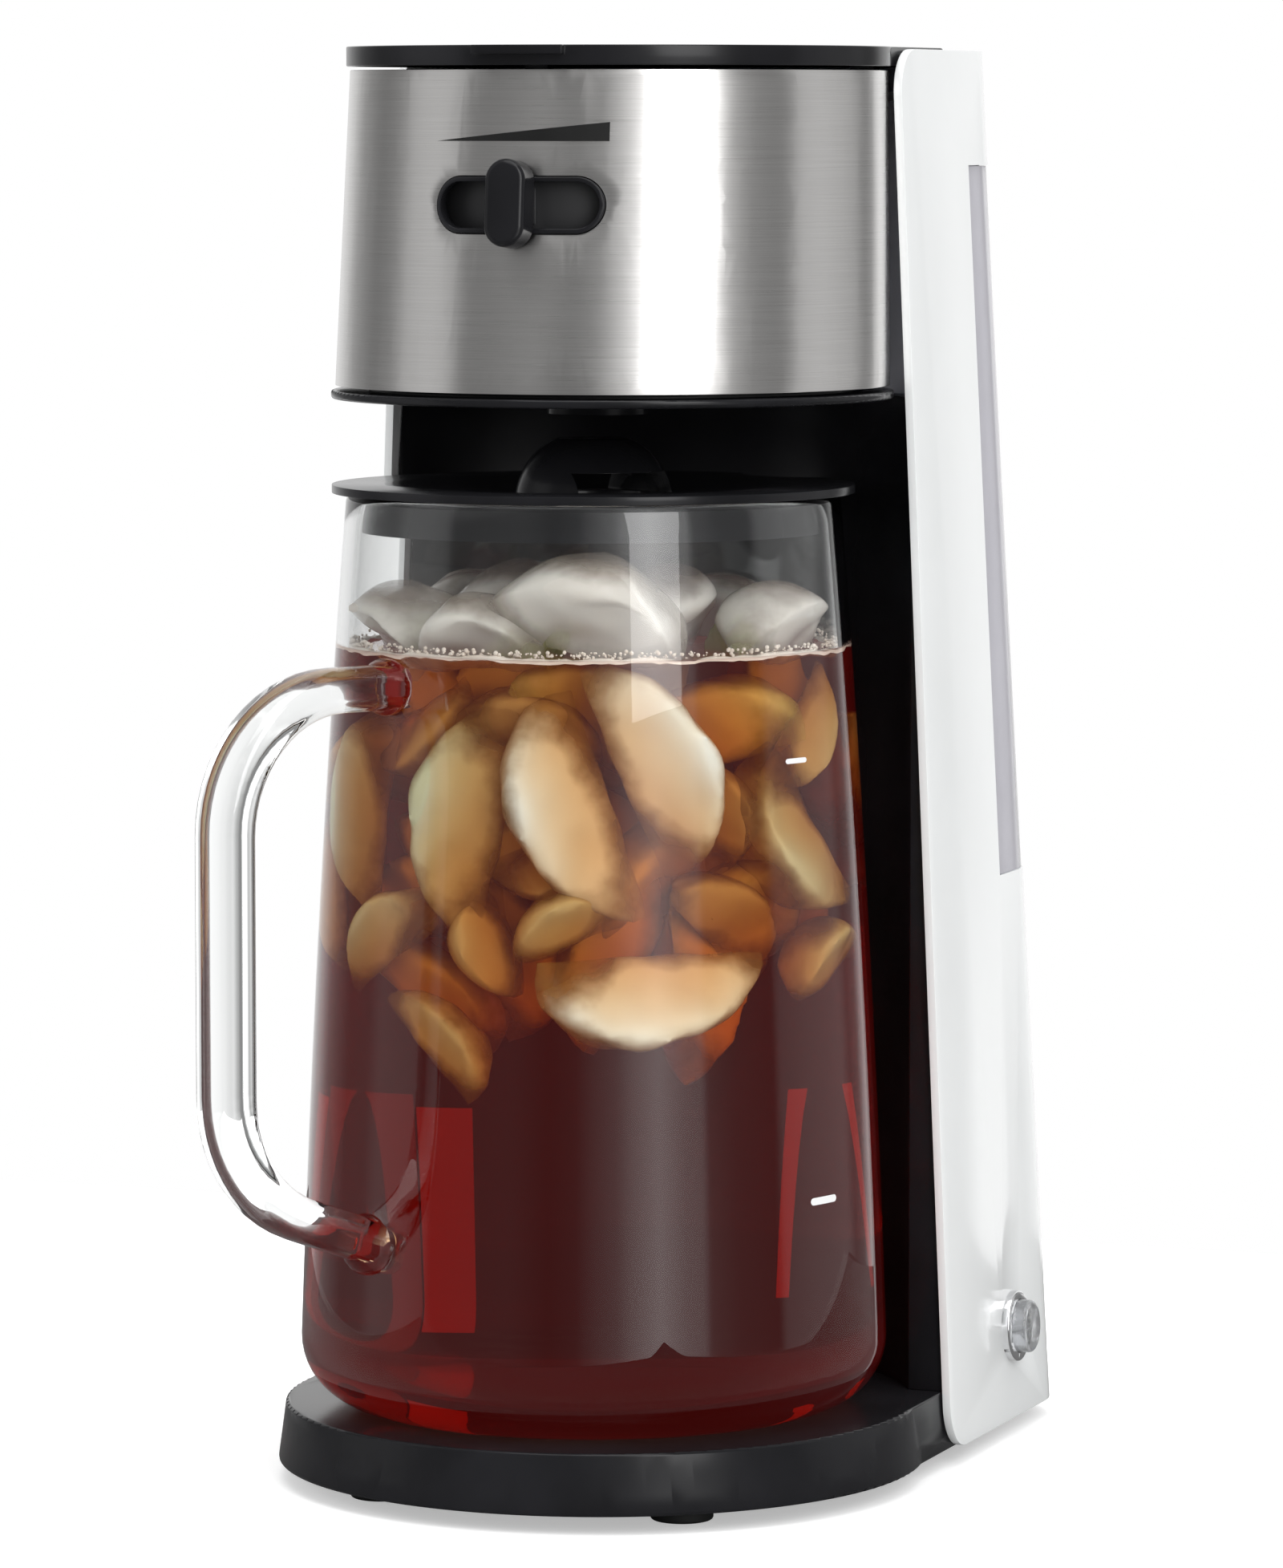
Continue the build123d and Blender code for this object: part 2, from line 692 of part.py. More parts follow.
def strength_lever():
    """Shutter behind the slot with the knob's neck, and the arm down to the flow disc."""
    low, high = slot_z - shutter_height / 2, slot_z + shutter_height / 2
    shutter_radius = head_front(high) - band_sheet - housing_gap - housing_wall - shutter_gap
    inner = shutter_radius - shutter_thickness
    ring = rod(0, 0, low, high, shutter_radius) - rod(0, 0, low, high, inner)
    reach = 2 * shutter_radius
    edge = reach * sin(radians(shutter_half_angle))
    depth = reach * cos(radians(shutter_half_angle))
    sector = make_face(Polyline((0, 0), (edge, -depth), (-edge, -depth), close=True))
    shutter = ring & extrude(Pos(0, 0, low) * sector, shutter_height)
    neck = extrude(knob_frame(knob_stand_off) * Rectangle(neck_width, neck_height), -shutter_radius / 2)
    neck = neck - rod(0, 0, 0, FAR, inner)
    post = block(-arm_width / 2, arm_width / 2, -FAR, 0, disc_bottom_z, high) & (
        rod(0, 0, disc_bottom_z, high, shutter_radius) - rod(0, 0, disc_bottom_z, high, inner)
    )
    arm = block(-arm_width / 2, arm_width / 2, -inner, 0, disc_bottom_z, disc_bottom_z + arm_thickness)
    arm = arm - rod(0, 0, 0, FAR, flow_disc_radius)
    return shutter + neck + post + arm


def flow_ports(z_low, z_high, radius):
    """The ring of ports through which tea leaves the basket."""
    ports = []
    for i in range(port_count):
        angle = radians(90 + i * 360 / port_count)
        ports.append(rod(port_circle * cos(angle), port_circle * sin(angle), z_low, z_high, radius))
    return ports


def flow_disc():
    """Disc with ports that the lever turns under the basket's outlet."""
    disc = rod(0, 0, disc_bottom_z, disc_top_z, flow_disc_radius)
    for port in flow_ports(disc_bottom_z, disc_top_z, port_radius):
        disc = disc - port
    return disc


def drain_spout():
    """Funnel through the head's floor and the shelf, with a rim round the flow disc."""
    flange_top = housing_floor_top + spout_flange
    bottom = shelf_bottom_z - spout_drop
    body = rod(0, 0, bottom, housing_floor_top, spout_radius)
    body = body + rod(0, 0, housing_floor_top, flange_top, spout_flange_radius)
    rim = rod(0, 0, flange_top, disc_top_z, spout_flange_radius)
    rim = rim - rod(0, 0, flange_top, disc_top_z, flow_disc_radius + running_gap)
    swing = radians(lever_swing) + asin((arm_width / 2 + slide_gap) / flow_disc_radius)
    opening = make_face(Polyline((0, 0), (FAR * sin(swing), -FAR * cos(swing)),
                                 (-FAR * sin(swing), -FAR * cos(swing)), close=True))
    rim = rim - extrude(Pos(0, 0, flange_top) * opening, flow_disc_thickness + 1)
    funnel = Pos(0, 0, bottom) * Cone(
        spout_bottom_bore, spout_top_bore, flange_top - bottom, align=(Align.CENTER, Align.CENTER, Align.MIN)
    )
    return body + rim - funnel


def basket_radius(z):
    """Outside radius of the basket's tapered wall."""
    share = (z - basket_bottom_z) / (deck_top_z - basket_bottom_z)
    return basket_bottom_radius + share * (basket_top_radius - basket_bottom_radius)


def brew_basket():
    """Tapered basket that hangs in the deck by its flange."""
    inner_bottom = basket_bottom_z + basket_wall
    flange_top = deck_top_z + basket_wall
    outline = Polyline(
        (0, basket_outlet_z),
        (basket_outlet_radius, basket_outlet_z),
        (basket_outlet_radius, basket_bottom_z),
        (basket_radius(basket_bottom_z), basket_bottom_z),
        (basket_radius(deck_top_z), deck_top_z),
        (basket_radius(deck_top_z) + basket_flange, deck_top_z),
        (basket_radius(deck_top_z) + basket_flange, flange_top),
        (basket_radius(flange_top) - basket_wall, flange_top),
        (basket_radius(inner_bottom) - basket_wall, inner_bottom),
        (0, inner_bottom),
        close=True,
    )
    basket = revolve(Plane.XZ * make_face(outline), Axis.Z)
    for port in flow_ports(basket_outlet_z, inner_bottom, port_radius):
        basket = basket - port
    return basket


def tea_filter():
    """Fine mesh cup inside the basket."""
    bottom = basket_bottom_z + basket_wall + seat_gap
    top = deck_top_z - filter_rim_drop
    inset = basket_wall + seat_gap
    outline = Polyline(
        (0, bottom),
        (basket_radius(bottom) - inset, bottom),
        (basket_radius(top) - inset, top),
        (basket_radius(top) - inset - filter_wall, top),
        (basket_radius(bottom) - inset - filter_wall, bottom + filter_wall),
        (0, bottom + filter_wall),
        close=True,
    )
    return revolve(Plane.XZ * make_face(outline), Axis.Z)


def hinge_lugs(grow, z_low):
    """The two places across the hinge where the deck's lugs stand."""
    places = []
    for side in (-1, 1):
        x = side * hinge_lug_x
        half = hinge_lug_width / 2 + grow
        post = block(x - half, x + half, hinge_y - hinge_lug_radius - grow, hinge_y + hinge_lug_radius + grow,
                     z_low, hinge_z)
        places.append(post + rod_along_x(x - half, x + half, hinge_y, hinge_z, hinge_lug_radius + grow))
    return places


def top_deck():
    """Plate under the lid: the basket hangs in it, and water is poured in through its rear mouth."""
    front = head_cone(band_sheet + housing_gap + housing_wall + slide_gap, deck_bottom_z, deck_top_z)
    front = front & ahead(deck_step_y)
    rear = block(-deck_half_width, deck_half_width, deck_step_y, deck_back_y, deck_bottom_z, deck_top_z)
    deck = front + rear
    deck = deck - rod(0, 0, deck_bottom_z, deck_top_z, basket_top_radius + 2 * seat_gap)
    deck = deck - block(-mouth_half_width, mouth_half_width, mouth_front_y, mouth_back_y,
                        deck_bottom_z, deck_top_z)
    deck = deck - rod(riser_x, riser_y, deck_bottom_z, deck_top_z, tube_radius + slide_gap)
    bridge = block(-hinge_lug_x - hinge_lug_width, hinge_lug_x + hinge_lug_width, deck_back_y,
                   hinge_y + hinge_lug_radius, deck_bottom_z, deck_top_z)
    deck = deck + bridge
    for lug in hinge_lugs(0, deck_bottom_z):
        deck = deck + lug
    return deck - rod_along_x(-FAR, FAR, hinge_y, hinge_z, hinge_pin_radius + running_gap)


def lid_hinge_pin():
    """Steel pin through the deck's lugs and the lid's rear edge."""
    return rod_along_x(-hinge_pin_half_length, hinge_pin_half_length, hinge_y, hinge_z, hinge_pin_radius)


def lid_plan(inset, z_low, z_high):
    """Solid of the lid's outline: round in front, straight between the side panels."""
    half = shell_half_width - side_lean * total_height - shell_wall - lid_side_gap - inset
    disc = rod(0, lid_y, z_low, z_high, lid_radius - inset) & ahead(lid_neck_y)
    return disc + block(-half, half, lid_y, hinge_y, z_low, z_high)


def top_lid():
    """Hinged lid, hollow below, with a thumb tab in front and the hinge bar at its rear edge."""
    half = shell_half_width - side_lean * total_height - shell_wall - lid_side_gap
    lid = lid_plan(0, lid_bottom_z, total_height)
    lid = lid - (lid_plan(lid_rim, lid_bottom_z, total_height - lid_wall) & ahead(hinge_y - hinge_radius))
    lid = lid + rod_along_x(-half, half, hinge_y, hinge_z, hinge_radius)
    tab_edge = FAR * sin(radians(tab_half_angle))
    tab_depth = FAR * cos(radians(tab_half_angle))
    sector = make_face(Polyline((0, lid_y), (tab_edge, lid_y - tab_depth), (-tab_edge, lid_y - tab_depth),
                                close=True))
    tab = rod(0, lid_y, total_height - tab_thickness, total_height, lid_radius + tab_reach)
    tab = tab & extrude(Pos(0, 0, total_height - tab_thickness) * sector, tab_thickness)
    lid = lid + (tab - rod(0, lid_y, 0, FAR, lid_radius - lid_rim))
    for side in (-1, 1):
        x = side * hinge_lug_x
        reach = hinge_lug_width / 2 + slide_gap
        lid = lid - block(x - reach, x + reach, hinge_y - hinge_notch_reach, FAR, 0, FAR)
    return lid - rod_along_x(-FAR, FAR, hinge_y, hinge_z, hinge_pin_radius + running_gap)


# ---------------------------------------------------------------- water circuit
def tank_form(inset, bottom, top):
    """The tank's form drawn in by inset: behind the column front, then forward over its top."""
    body = column_body(bottom, top, tank_inset + inset, 0)
    shoulder_z = shelf_bottom_z + seat_gap + inset
    lower = body & behind(tank_front_y + inset)
    upper = body & behind(tank_shoulder_y + inset)
    upper = upper & block(-FAR, FAR, 0, FAR, shoulder_z, FAR)
    return (lower + upper) - rod(riser_x, riser_y, 0, FAR, tube_radius + hose_wall + tank_front_gap + inset)


def water_tank():
    """Clear tank in the column, filled through the mouth in its top."""
    tank = tank_form(0, tank_bottom_z, tank_top_z)
    tank = tank - tank_form(tank_wall, tank_bottom_z + tank_wall, tank_top_z - tank_wall)
    tank = tank - block(-mouth_half_width, mouth_half_width, mouth_front_y, mouth_back_y,
                        tank_top_z - 2 * tank_wall, tank_top_z + 1)
    return tank - rod(outlet_x, outlet_y, tank_bottom_z - 1, tank_bottom_z + 2 * tank_wall, tube_bore)


def tank_outlet_valve():
    """Check valve under the tank, with a nipple for the hose."""
    bottom = tank_bottom_z - outlet_height
    valve = rod(outlet_x, outlet_y, bottom, tank_bottom_z, outlet_radius)
    valve = valve + rod(outlet_x, outlet_y, bottom - outlet_nipple, bottom, tube_radius)
    return valve - rod(outlet_x, outlet_y, bottom - outlet_nipple, tank_bottom_z, tube_bore)


def hose(*points):
    """Hose along straight runs joined by round bends."""
    route = FilletPolyline(*points, radius=hose_bend)
    start = Plane(origin=route @ 0, z_dir=route % 0)
    return sweep(start * (Circle(hose_bore + hose_wall) - Circle(hose_bore)), path=route)


def feed_hose():
    """From the tank's valve down to the heater's water pipe."""
    pipe_end = heater_length / 2 + pipe_reach
    top = tank_bottom_z - outlet_height - outlet_nipple + riser_overlap
    return hose(
        (pipe_end - riser_overlap, heater_y, water_bore_z),
        (outlet_x + hose_bend, heater_y, water_bore_z),
        (outlet_x + hose_bend, heater_y, water_bore_z + 3 * hose_bend),
        (outlet_x, outlet_y, water_bore_z + 5 * hose_bend),
        (outlet_x, outlet_y, top),
    )


def riser_hose():
    """From the heater's water pipe up to the riser tube."""
    pipe_end = heater_length / 2 + pipe_reach
    return hose(
        (riser_overlap - pipe_end, heater_y, water_bore_z),
        (riser_x - hose_bend / 2, heater_y, water_bore_z),
        (riser_x, riser_y, water_bore_z + 3 * hose_bend),
        (riser_x, riser_y, riser_bottom_z + riser_overlap),
    )


def riser_tube():
    """Rigid tube that takes hot water up to the shower arm."""
    top = shower_bottom_z + shower_socket - running_gap
    tube = rod(riser_x, riser_y, riser_bottom_z, top, tube_radius)
    return tube - rod(riser_x, riser_y, riser_bottom_z, top, tube_bore)


def shower_arm():
    """Flat arm that turns on the riser's end, with a nozzle over the filter."""
    bottom = shower_bottom_z
    outline = SlotCenterToCenter(arm_reach, shower_width)
    arm = extrude(Pos(arm_reach / 2, 0, bottom) * outline, shower_height)
    arm = arm - block(0, arm_reach, -shower_channel / 2, shower_channel / 2,
                      bottom + shower_channel_low, bottom + shower_channel_high)
    arm = arm - rod(0, 0, bottom, bottom + shower_socket, tube_radius + running_gap)
    arm = arm - rod(arm_reach, 0, bottom, bottom + shower_channel_high, nozzle_radius)
    towards_basket = degrees(atan(riser_y / riser_x))
    return Pos(riser_x, riser_y, 0) * Rot(0, 0, towards_basket) * arm


# ---------------------------------------------------------------- heater and electrics
def heater_body():
    """Aluminium block with one bore for the water pipe and one for the heating element."""
    top = heater_bottom_z + heater_height
    body = block(-heater_length / 2, heater_length / 2, heater_y - heater_depth / 2,
                 heater_y + heater_depth / 2, heater_bottom_z, top)
    body = fillet(body.edges().filter_by(Axis.X), heater_round)
    body = body - rod_along_x(-FAR, FAR, heater_y, water_bore_z, tube_radius + running_gap)
    return body - rod_along_x(-FAR, FAR, heater_y, element_bore_z, element_radius + running_gap)


def heater_water_pipe():
    end = heater_length / 2 + pipe_reach
    pipe = rod_along_x(-end, end, heater_y, water_bore_z, tube_radius)
    return pipe - rod_along_x(-end, end, heater_y, water_bore_z, tube_bore)


def heating_element():
    """Sheathed element with a terminal pin at each end."""
    sheath = heater_length / 2 + element_reach / 2
    end = heater_length / 2 + element_reach
    element = rod_along_x(-sheath, sheath, heater_y, element_bore_z, element_radius)
    return element + rod_along_x(-end, end, heater_y, element_bore_z, pin_radius)


def heater_brackets():
    """Two standing brackets that carry the heater on the base."""
    brackets = []
    for side in (-1, 1):
        x = side * bracket_x
        y_low, y_high = heater_y - heater_depth / 2, heater_y + heater_depth / 2
        leg = block(x - bracket_thickness / 2, x + bracket_thickness / 2, y_low, y_high,
                    base_top_z, heater_bottom_z)
        for z in (base_top_z, heater_bottom_z - bracket_thickness):
            flange = block(x - bracket_foot / 2, x + bracket_foot / 2, y_low, y_high, z, z + bracket_thickness)
            leg = leg + flange
        brackets.append(leg)
    return Compound(brackets)


def thermostat():
    """Button thermostat on the heater, with two blade terminals."""
    bottom = heater_bottom_z + heater_height
    can = rod(thermostat_x, heater_y, bottom, bottom + thermostat_height, thermostat_radius)
    for side in (-1, 1):
        x = thermostat_x + side * thermostat_radius / 2
        blade = block(x - 0.4, x + 0.4, heater_y - 2.4, heater_y + 2.4, bottom + thermostat_height,
                      bottom + 2 * thermostat_height)
        can = can + blade
    return can


def fuse_clip():
    """Clip that presses the thermal fuse on the heater."""
    bottom = heater_bottom_z + heater_height
    clip = block(fuse_x - clip_length / 2, fuse_x + clip_length / 2, heater_y - clip_width / 2,
                 heater_y + clip_width / 2, bottom, bottom + clip_height)
    return clip - rod_along_x(-FAR, FAR, heater_y, bottom + clip_height / 2, fuse_radius + running_gap)


def thermal_fuse():
    centre_z = heater_bottom_z + heater_height + clip_height / 2
    return rod_along_x(fuse_x - fuse_length / 2, fuse_x + fuse_length / 2, heater_y, centre_z, fuse_radius)


def control_board():
    """Timer and relay board on four posts of the base."""
    board = Pos(board_x, board_y, board_z + board_thickness / 2) * Box(board_width, board_length, board_thickness)
    top = board_z + board_thickness
    relay = Pos(board_x - 3, board_y + 6, top + relay_size[2] / 2) * Box(*relay_size)
    capacitor = rod(board_x + 4, board_y - 9, top, top + capacitor_height, capacitor_radius)
    return board + relay + capacitor


def switch_body():
    """Push switch that the button's stem works on, standing on the base."""
    reach = -(button_length - button_proud) - 3 * button_travel - switch_size[0] / 2
    centre = (button_frame(reach)).position
    switch = Pos(centre.X, button_y, base_top_z + switch_size[2] / 2) * Box(*switch_size)
    return switch


def button_collar():
    """Bright ring round the power button, shaped to the panel."""
    sleeve = button_frame(-collar_depth) * Cylinder(
        collar_sleeve_radius, collar_depth + collar_proud / 2, align=(Align.CENTER, Align.CENTER, Align.MIN)
    )
    flange = button_frame(-collar_depth / 2) * Cylinder(
        collar_radius, collar_depth / 2 + collar_proud, align=(Align.CENTER, Align.CENTER, Align.MIN)
    )
    rim = flange.faces().sort_by(Axis.X)[-1]
    flange = fillet(rim.edges(), collar_proud / 4)
    flange = flange - column_body(base_bottom_z, shell_top_z, 0, 0)
    bore = button_frame(0) * Cylinder(button_radius + slide_gap, 4 * collar_depth)
    return sleeve + flange - bore


def power_button():
    """Round clear button with a stem to the switch."""
    cap = button_frame(button_proud - button_length) * Cylinder(
        button_radius, button_length, align=(Align.CENTER, Align.CENTER, Align.MIN)
    )
    cap = fillet(cap.faces().sort_by(Axis.X)[-1].edges(), button_round)
    stem = button_frame(button_proud - button_length) * Cylinder(
        stem_radius, 2 * (button_travel + seat_gap), align=(Align.CENTER, Align.CENTER, Align.CENTER)
    )
    return cap + stem


# ---------------------------------------------------------------- jug
def towards(azimuth):
    """Turns a piece drawn along +X so that it points at an azimuth from straight forward."""
    return Pos(0, jug_y, 0) * Rot(0, 0, azimuth - 90)


def jug_handle_form():
    """Strap handle: level out of the jug, down the grip and back in at a slant."""
    route = FilletPolyline(
        (handle_root, 0, handle_top_z),
        (handle_reach, 0, handle_top_z),
        (handle_reach, 0, handle_corner_z),
        (handle_foot_root, 0, handle_foot_z),
        radius=handle_bend,
    )
    start = Plane(origin=route @ 0, x_dir=(0, 1, 0), z_dir=route % 0)
    strap = start * RectangleRounded(handle_width, handle_thickness, handle_edge)
    return towards(handle_azimuth) * sweep(strap, path=route)


def jug_form(inset, bottom, top):
    """The jug's round body drawn in by inset, with its pouring lip opposite the handle."""
    side = ThreePointArc(
        (jug_bottom_radius - inset, bottom),
        (jug_middle_radius - inset, jug_middle_z),
        (jug_rim_radius - inset, jug_rim_z),
    )
    outline = make_face(
        side
        + Line((jug_rim_radius - inset, jug_rim_z), (0, jug_rim_z))
        + Line((0, jug_rim_z), (0, bottom))
        + Line((0, bottom), (jug_bottom_radius - inset, bottom))
    )
    corner = outline.vertices().sort_by(Axis.X)[-1]
    outline = fillet(corner, jug_corner - inset)
    body = Pos(0, jug_y, 0) * revolve(Plane.XZ * outline, Axis.Z)
    low = Pos(spout_lip_low_reach, 0, spout_lip_low_z) * Circle(spout_lip_low_radius - inset)
    high = Pos(spout_lip_reach, 0, jug_rim_z) * Circle(spout_lip_radius - inset)
    lip = towards(handle_azimuth + 180) * loft([low, high], ruled=True)
    return body + lip


def glass_jug():
    """Glass jug with its handle fused on."""
    outside = jug_form(0, jug_bottom_z, jug_rim_z) + jug_handle_form()
    inside = jug_form(jug_wall, jug_bottom_z + jug_floor, jug_rim_z)
    return outside - inside


def dome(radius_drop, base_z):
    """The lid knob's dome drawn in by radius_drop, down to base_z."""
    top = dome_top_z - radius_drop
    base = dome_base_radius - radius_drop
    shoulder = (dome_top_radius - radius_drop / 2, top)
    bulge = (base * 0.86, base_z + (top - base_z) * 0.56)
    outline = make_face(
        Line((0, base_z), (base, base_z))
        + ThreePointArc((base, base_z), bulge, shoulder)
        + Line(shoulder, (0, top))
        + Line((0, top), (0, base_z))
    )
    return revolve(Plane.XZ * outline, Axis.Z)


def jug_lid():
    """Lid of the jug: a shallow dish with a domed knob, a strainer skirt and a pouring notch."""
    bottom = cap_top_z - cap_thickness
    dish_top = cap_top_z - cap_dish_depth
    dish_bottom = bottom - cap_dish_depth
    skirt_radius = jug_rim_radius - jug_wall - cap_skirt_gap
    outline = Polyline(
        (cap_hole_radius, dish_bottom),
        (cap_dish_end, dish_bottom),
        (cap_dish_start, bottom),
        (skirt_radius - cap_skirt_wall, bottom),
        (skirt_radius - cap_skirt_wall, bottom - cap_skirt_depth),
        (skirt_radius, bottom - cap_skirt_depth),
        (skirt_radius, bottom),
        (cap_radius, bottom),
        (cap_radius, cap_top_z),
        (cap_dish_start, cap_top_z),
        (cap_dish_end, dish_top),
        (cap_hole_radius, dish_top),
        close=True,
    )
    cap = revolve(Plane.XZ * make_face(outline), Axis.Z)
    knob = dome(0, dish_top - cap_thickness / 2) - dome(dome_wall, dish_bottom - 1)
    window = block(-dome_window_half, dome_window_half, -FAR, FAR, dish_top, dome_window_z)
    knob = knob - (window & rod(0, 0, dish_top, dome_window_z, cap_dish_start))
    cap = cap + knob
    notch = rod(-notch_centre, 0, bottom, cap_top_z, notch_radius)
    cap = cap - notch
    for i in range(strainer_count):
        angle = 180 + (i - (strainer_count - 1) / 2) * strainer_pitch
        slot = block(0, skirt_radius + 1, -strainer_slot / 2, strainer_slot / 2,
                     bottom - cap_skirt_depth, bottom - cap_skirt_depth + strainer_height)
        slot = slot - rod(0, 0, 0, FAR, cap_dish_start)
        cap = cap - Rot(0, 0, angle) * slot
    return towards(handle_azimuth) * cap


nodes = {
    "base": base,
    "base_cover": base_cover,
    "rubber_feet": rubber_feet,
    "base_screws": base_screws,
    "outer_shell": outer_shell,
    "column_front": column_front,
    "level_window": level_window,
    "cord_gland": cord_gland,
    "head_shelf": shelf,
    "steel_band": band,
    "head_housing": head_housing,
    "slot_bezel": slot_bezel,
    "strength_knob": strength_knob,
    "strength_lever": strength_lever,
    "flow_disc": flow_disc,
    "drain_spout": drain_spout,
    "brew_basket": brew_basket,
    "tea_filter": tea_filter,
    "top_deck": top_deck,
    "lid_hinge_pin": lid_hinge_pin,
    "top_lid": top_lid,
    "water_tank": water_tank,
    "tank_outlet_valve": tank_outlet_valve,
    "feed_hose": feed_hose,
    "riser_hose": riser_hose,
    "riser_tube": riser_tube,
    "shower_arm": shower_arm,
    "heater_body": heater_body,
    "heater_water_pipe": heater_water_pipe,
    "heating_element": heating_element,
    "heater_brackets": heater_brackets,
    "thermostat": thermostat,
    "thermal_fuse": thermal_fuse,
    "fuse_clip": fuse_clip,
    "control_board": control_board,
    "switch_body": switch_body,
    "button_collar": button_collar,
    "power_button": power_button,
    "glass_jug": glass_jug,
    "jug_lid": jug_lid,
}


def main():
    os.makedirs("parts", exist_ok=True)
    solids = {name: make() for name, make in nodes.items()}
    boxes = [solid.bounding_box() for solid in solids.values()]
    low_x, high_x = min(box.min.X for box in boxes), max(box.max.X for box in boxes)
    low_y, high_y = min(box.min.Y for box in boxes), max(box.max.Y for box in boxes)
    shift = Pos(-(low_x + high_x) / 2, -(low_y + high_y) / 2, -min(box.min.Z for box in boxes))
    print("moved by", shift.position)
    for name, solid in solids.items():
        export_step(shift * solid, os.path.join("parts", name + ".step"))


main()
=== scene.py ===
import math
import random

import bpy
from mathutils import Matrix, Vector


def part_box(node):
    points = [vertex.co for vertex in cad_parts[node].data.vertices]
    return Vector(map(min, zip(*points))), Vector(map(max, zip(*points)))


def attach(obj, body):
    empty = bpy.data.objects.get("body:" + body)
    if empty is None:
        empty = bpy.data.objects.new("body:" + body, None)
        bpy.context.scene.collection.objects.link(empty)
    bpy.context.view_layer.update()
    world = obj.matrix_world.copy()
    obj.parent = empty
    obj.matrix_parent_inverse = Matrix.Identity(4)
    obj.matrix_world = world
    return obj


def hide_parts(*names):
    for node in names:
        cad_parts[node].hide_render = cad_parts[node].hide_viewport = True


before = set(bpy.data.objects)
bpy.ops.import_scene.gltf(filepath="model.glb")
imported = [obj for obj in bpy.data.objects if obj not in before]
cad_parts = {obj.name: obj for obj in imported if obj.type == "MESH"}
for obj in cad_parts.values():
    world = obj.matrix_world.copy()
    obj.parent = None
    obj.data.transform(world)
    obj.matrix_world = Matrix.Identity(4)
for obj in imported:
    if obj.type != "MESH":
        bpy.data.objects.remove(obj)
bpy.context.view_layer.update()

MM = 0.001

# The flow disc turns on the base disc's axis, and the whole machine is laid out from that axis.
disc_low, disc_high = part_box("flow_disc")
AXIS = Vector(((disc_low.x + disc_high.x) / 2, (disc_low.y + disc_high.y) / 2, 0))
JUG_FORWARD = 5.0           # the jug stands this far in front of the base's axis, in millimetres
JUG_AXIS = AXIS + Vector((0, -JUG_FORWARD * MM, 0))
HANDLE_AZIMUTH = -28.5      # degrees from straight forward, towards the machine's right


# ------------------------------------------------------------------ hands
def deselect_all():
    if bpy.context.object and bpy.context.object.mode != "OBJECT":
        bpy.ops.object.mode_set(mode="OBJECT")
    bpy.ops.object.select_all(action="DESELECT")


def pick(piece):
    deselect_all()
    piece.select_set(True)
    bpy.context.view_layer.objects.active = piece


def edit(piece):
    pick(piece)
    bpy.ops.object.mode_set(mode="EDIT")
    bpy.ops.mesh.select_mode(type="VERT")
    bpy.ops.mesh.select_all(action="SELECT")


def done():
    bpy.ops.object.mode_set(mode="OBJECT")


def settle(piece):
    """Puts the piece's place into its mesh."""
    pick(piece)
    bpy.ops.object.transform_apply(location=True, rotation=True, scale=True)


def apply_modifiers(piece):
    pick(piece)
    for modifier in list(piece.modifiers):
        bpy.ops.object.modifier_apply(modifier=modifier.name)


def smooth(piece, angle=35):
    pick(piece)
    bpy.ops.object.shade_smooth_by_angle(angle=math.radians(angle))
    apply_modifiers(piece)


def round_edges(piece, width, segments):
    bevel = piece.modifiers.new("edge", "BEVEL")
    bevel.width = width * MM
    bevel.segments = segments
    bevel.limit_method = "ANGLE"
    bevel.angle_limit = math.radians(40)
    bevel.use_clamp_overlap = True
    apply_modifiers(piece)


def finish_piece(piece, name, body, material):
    settle(piece)
    piece.name = name
    piece.data.name = name
    piece.data.materials.clear()
    piece.data.materials.append(material)
    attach(piece, body)


def from_solid(node, name, body, material, edge, segments):
    """A copy of a solid with its seams closed, its edges rounded and its surface smoothed."""
    pick(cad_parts[node])
    bpy.ops.object.duplicate()
    piece = bpy.context.object
    piece.parent = None
    for key in list(piece.keys()):
        del piece[key]
    edit(piece)
    bpy.ops.mesh.remove_doubles(threshold=0.00001)
    bpy.ops.mesh.dissolve_limited(angle_limit=math.radians(0.6))
    done()
    if edge:
        round_edges(piece, edge, segments)
    smooth(piece)
    finish_piece(piece, name, body, material)
    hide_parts(node)


def profile(points):
    """A run of vertices in the XZ plane, in millimetres from the base axis, made by extruding one vertex."""
    deselect_all()
    bpy.ops.mesh.primitive_plane_add(size=MM, location=(0, 0, 0))
    piece = bpy.context.object
    edit(piece)
    bpy.ops.mesh.merge(type="CENTER")
    bpy.ops.transform.translate(value=(points[0][0] * MM, 0, points[0][1] * MM))
    for before, after in zip(points, points[1:]):
        step = ((after[0] - before[0]) * MM, 0, (after[1] - before[1]) * MM)
        bpy.ops.mesh.extrude_region_move(TRANSFORM_OT_translate={"value": step})
    done()
    return piece


def turned(points, centre, steps):
    """A closed body of revolution about an upright axis."""
    piece = profile(points)
    edit(piece)
    bpy.ops.mesh.spin(steps=steps, angle=2 * math.pi, center=(0, 0, 0), axis=(0, 0, 1))
    bpy.ops.mesh.select_all(action="SELECT")
    bpy.ops.mesh.remove_doubles(threshold=0.000002)
    bpy.ops.mesh.normals_make_consistent(inside=False)
    done()
    piece.location = centre
    settle(piece)
    return piece


def arc(centre, radius, start, end, count):
    """Points on an arc in a profile, in degrees from the X axis."""
    points = []
    for i in range(count + 1):
        angle = math.radians(start + (end - start) * i / count)
        points.append((centre[0] + radius * math.cos(angle), centre[1] + radius * math.sin(angle)))
    return points


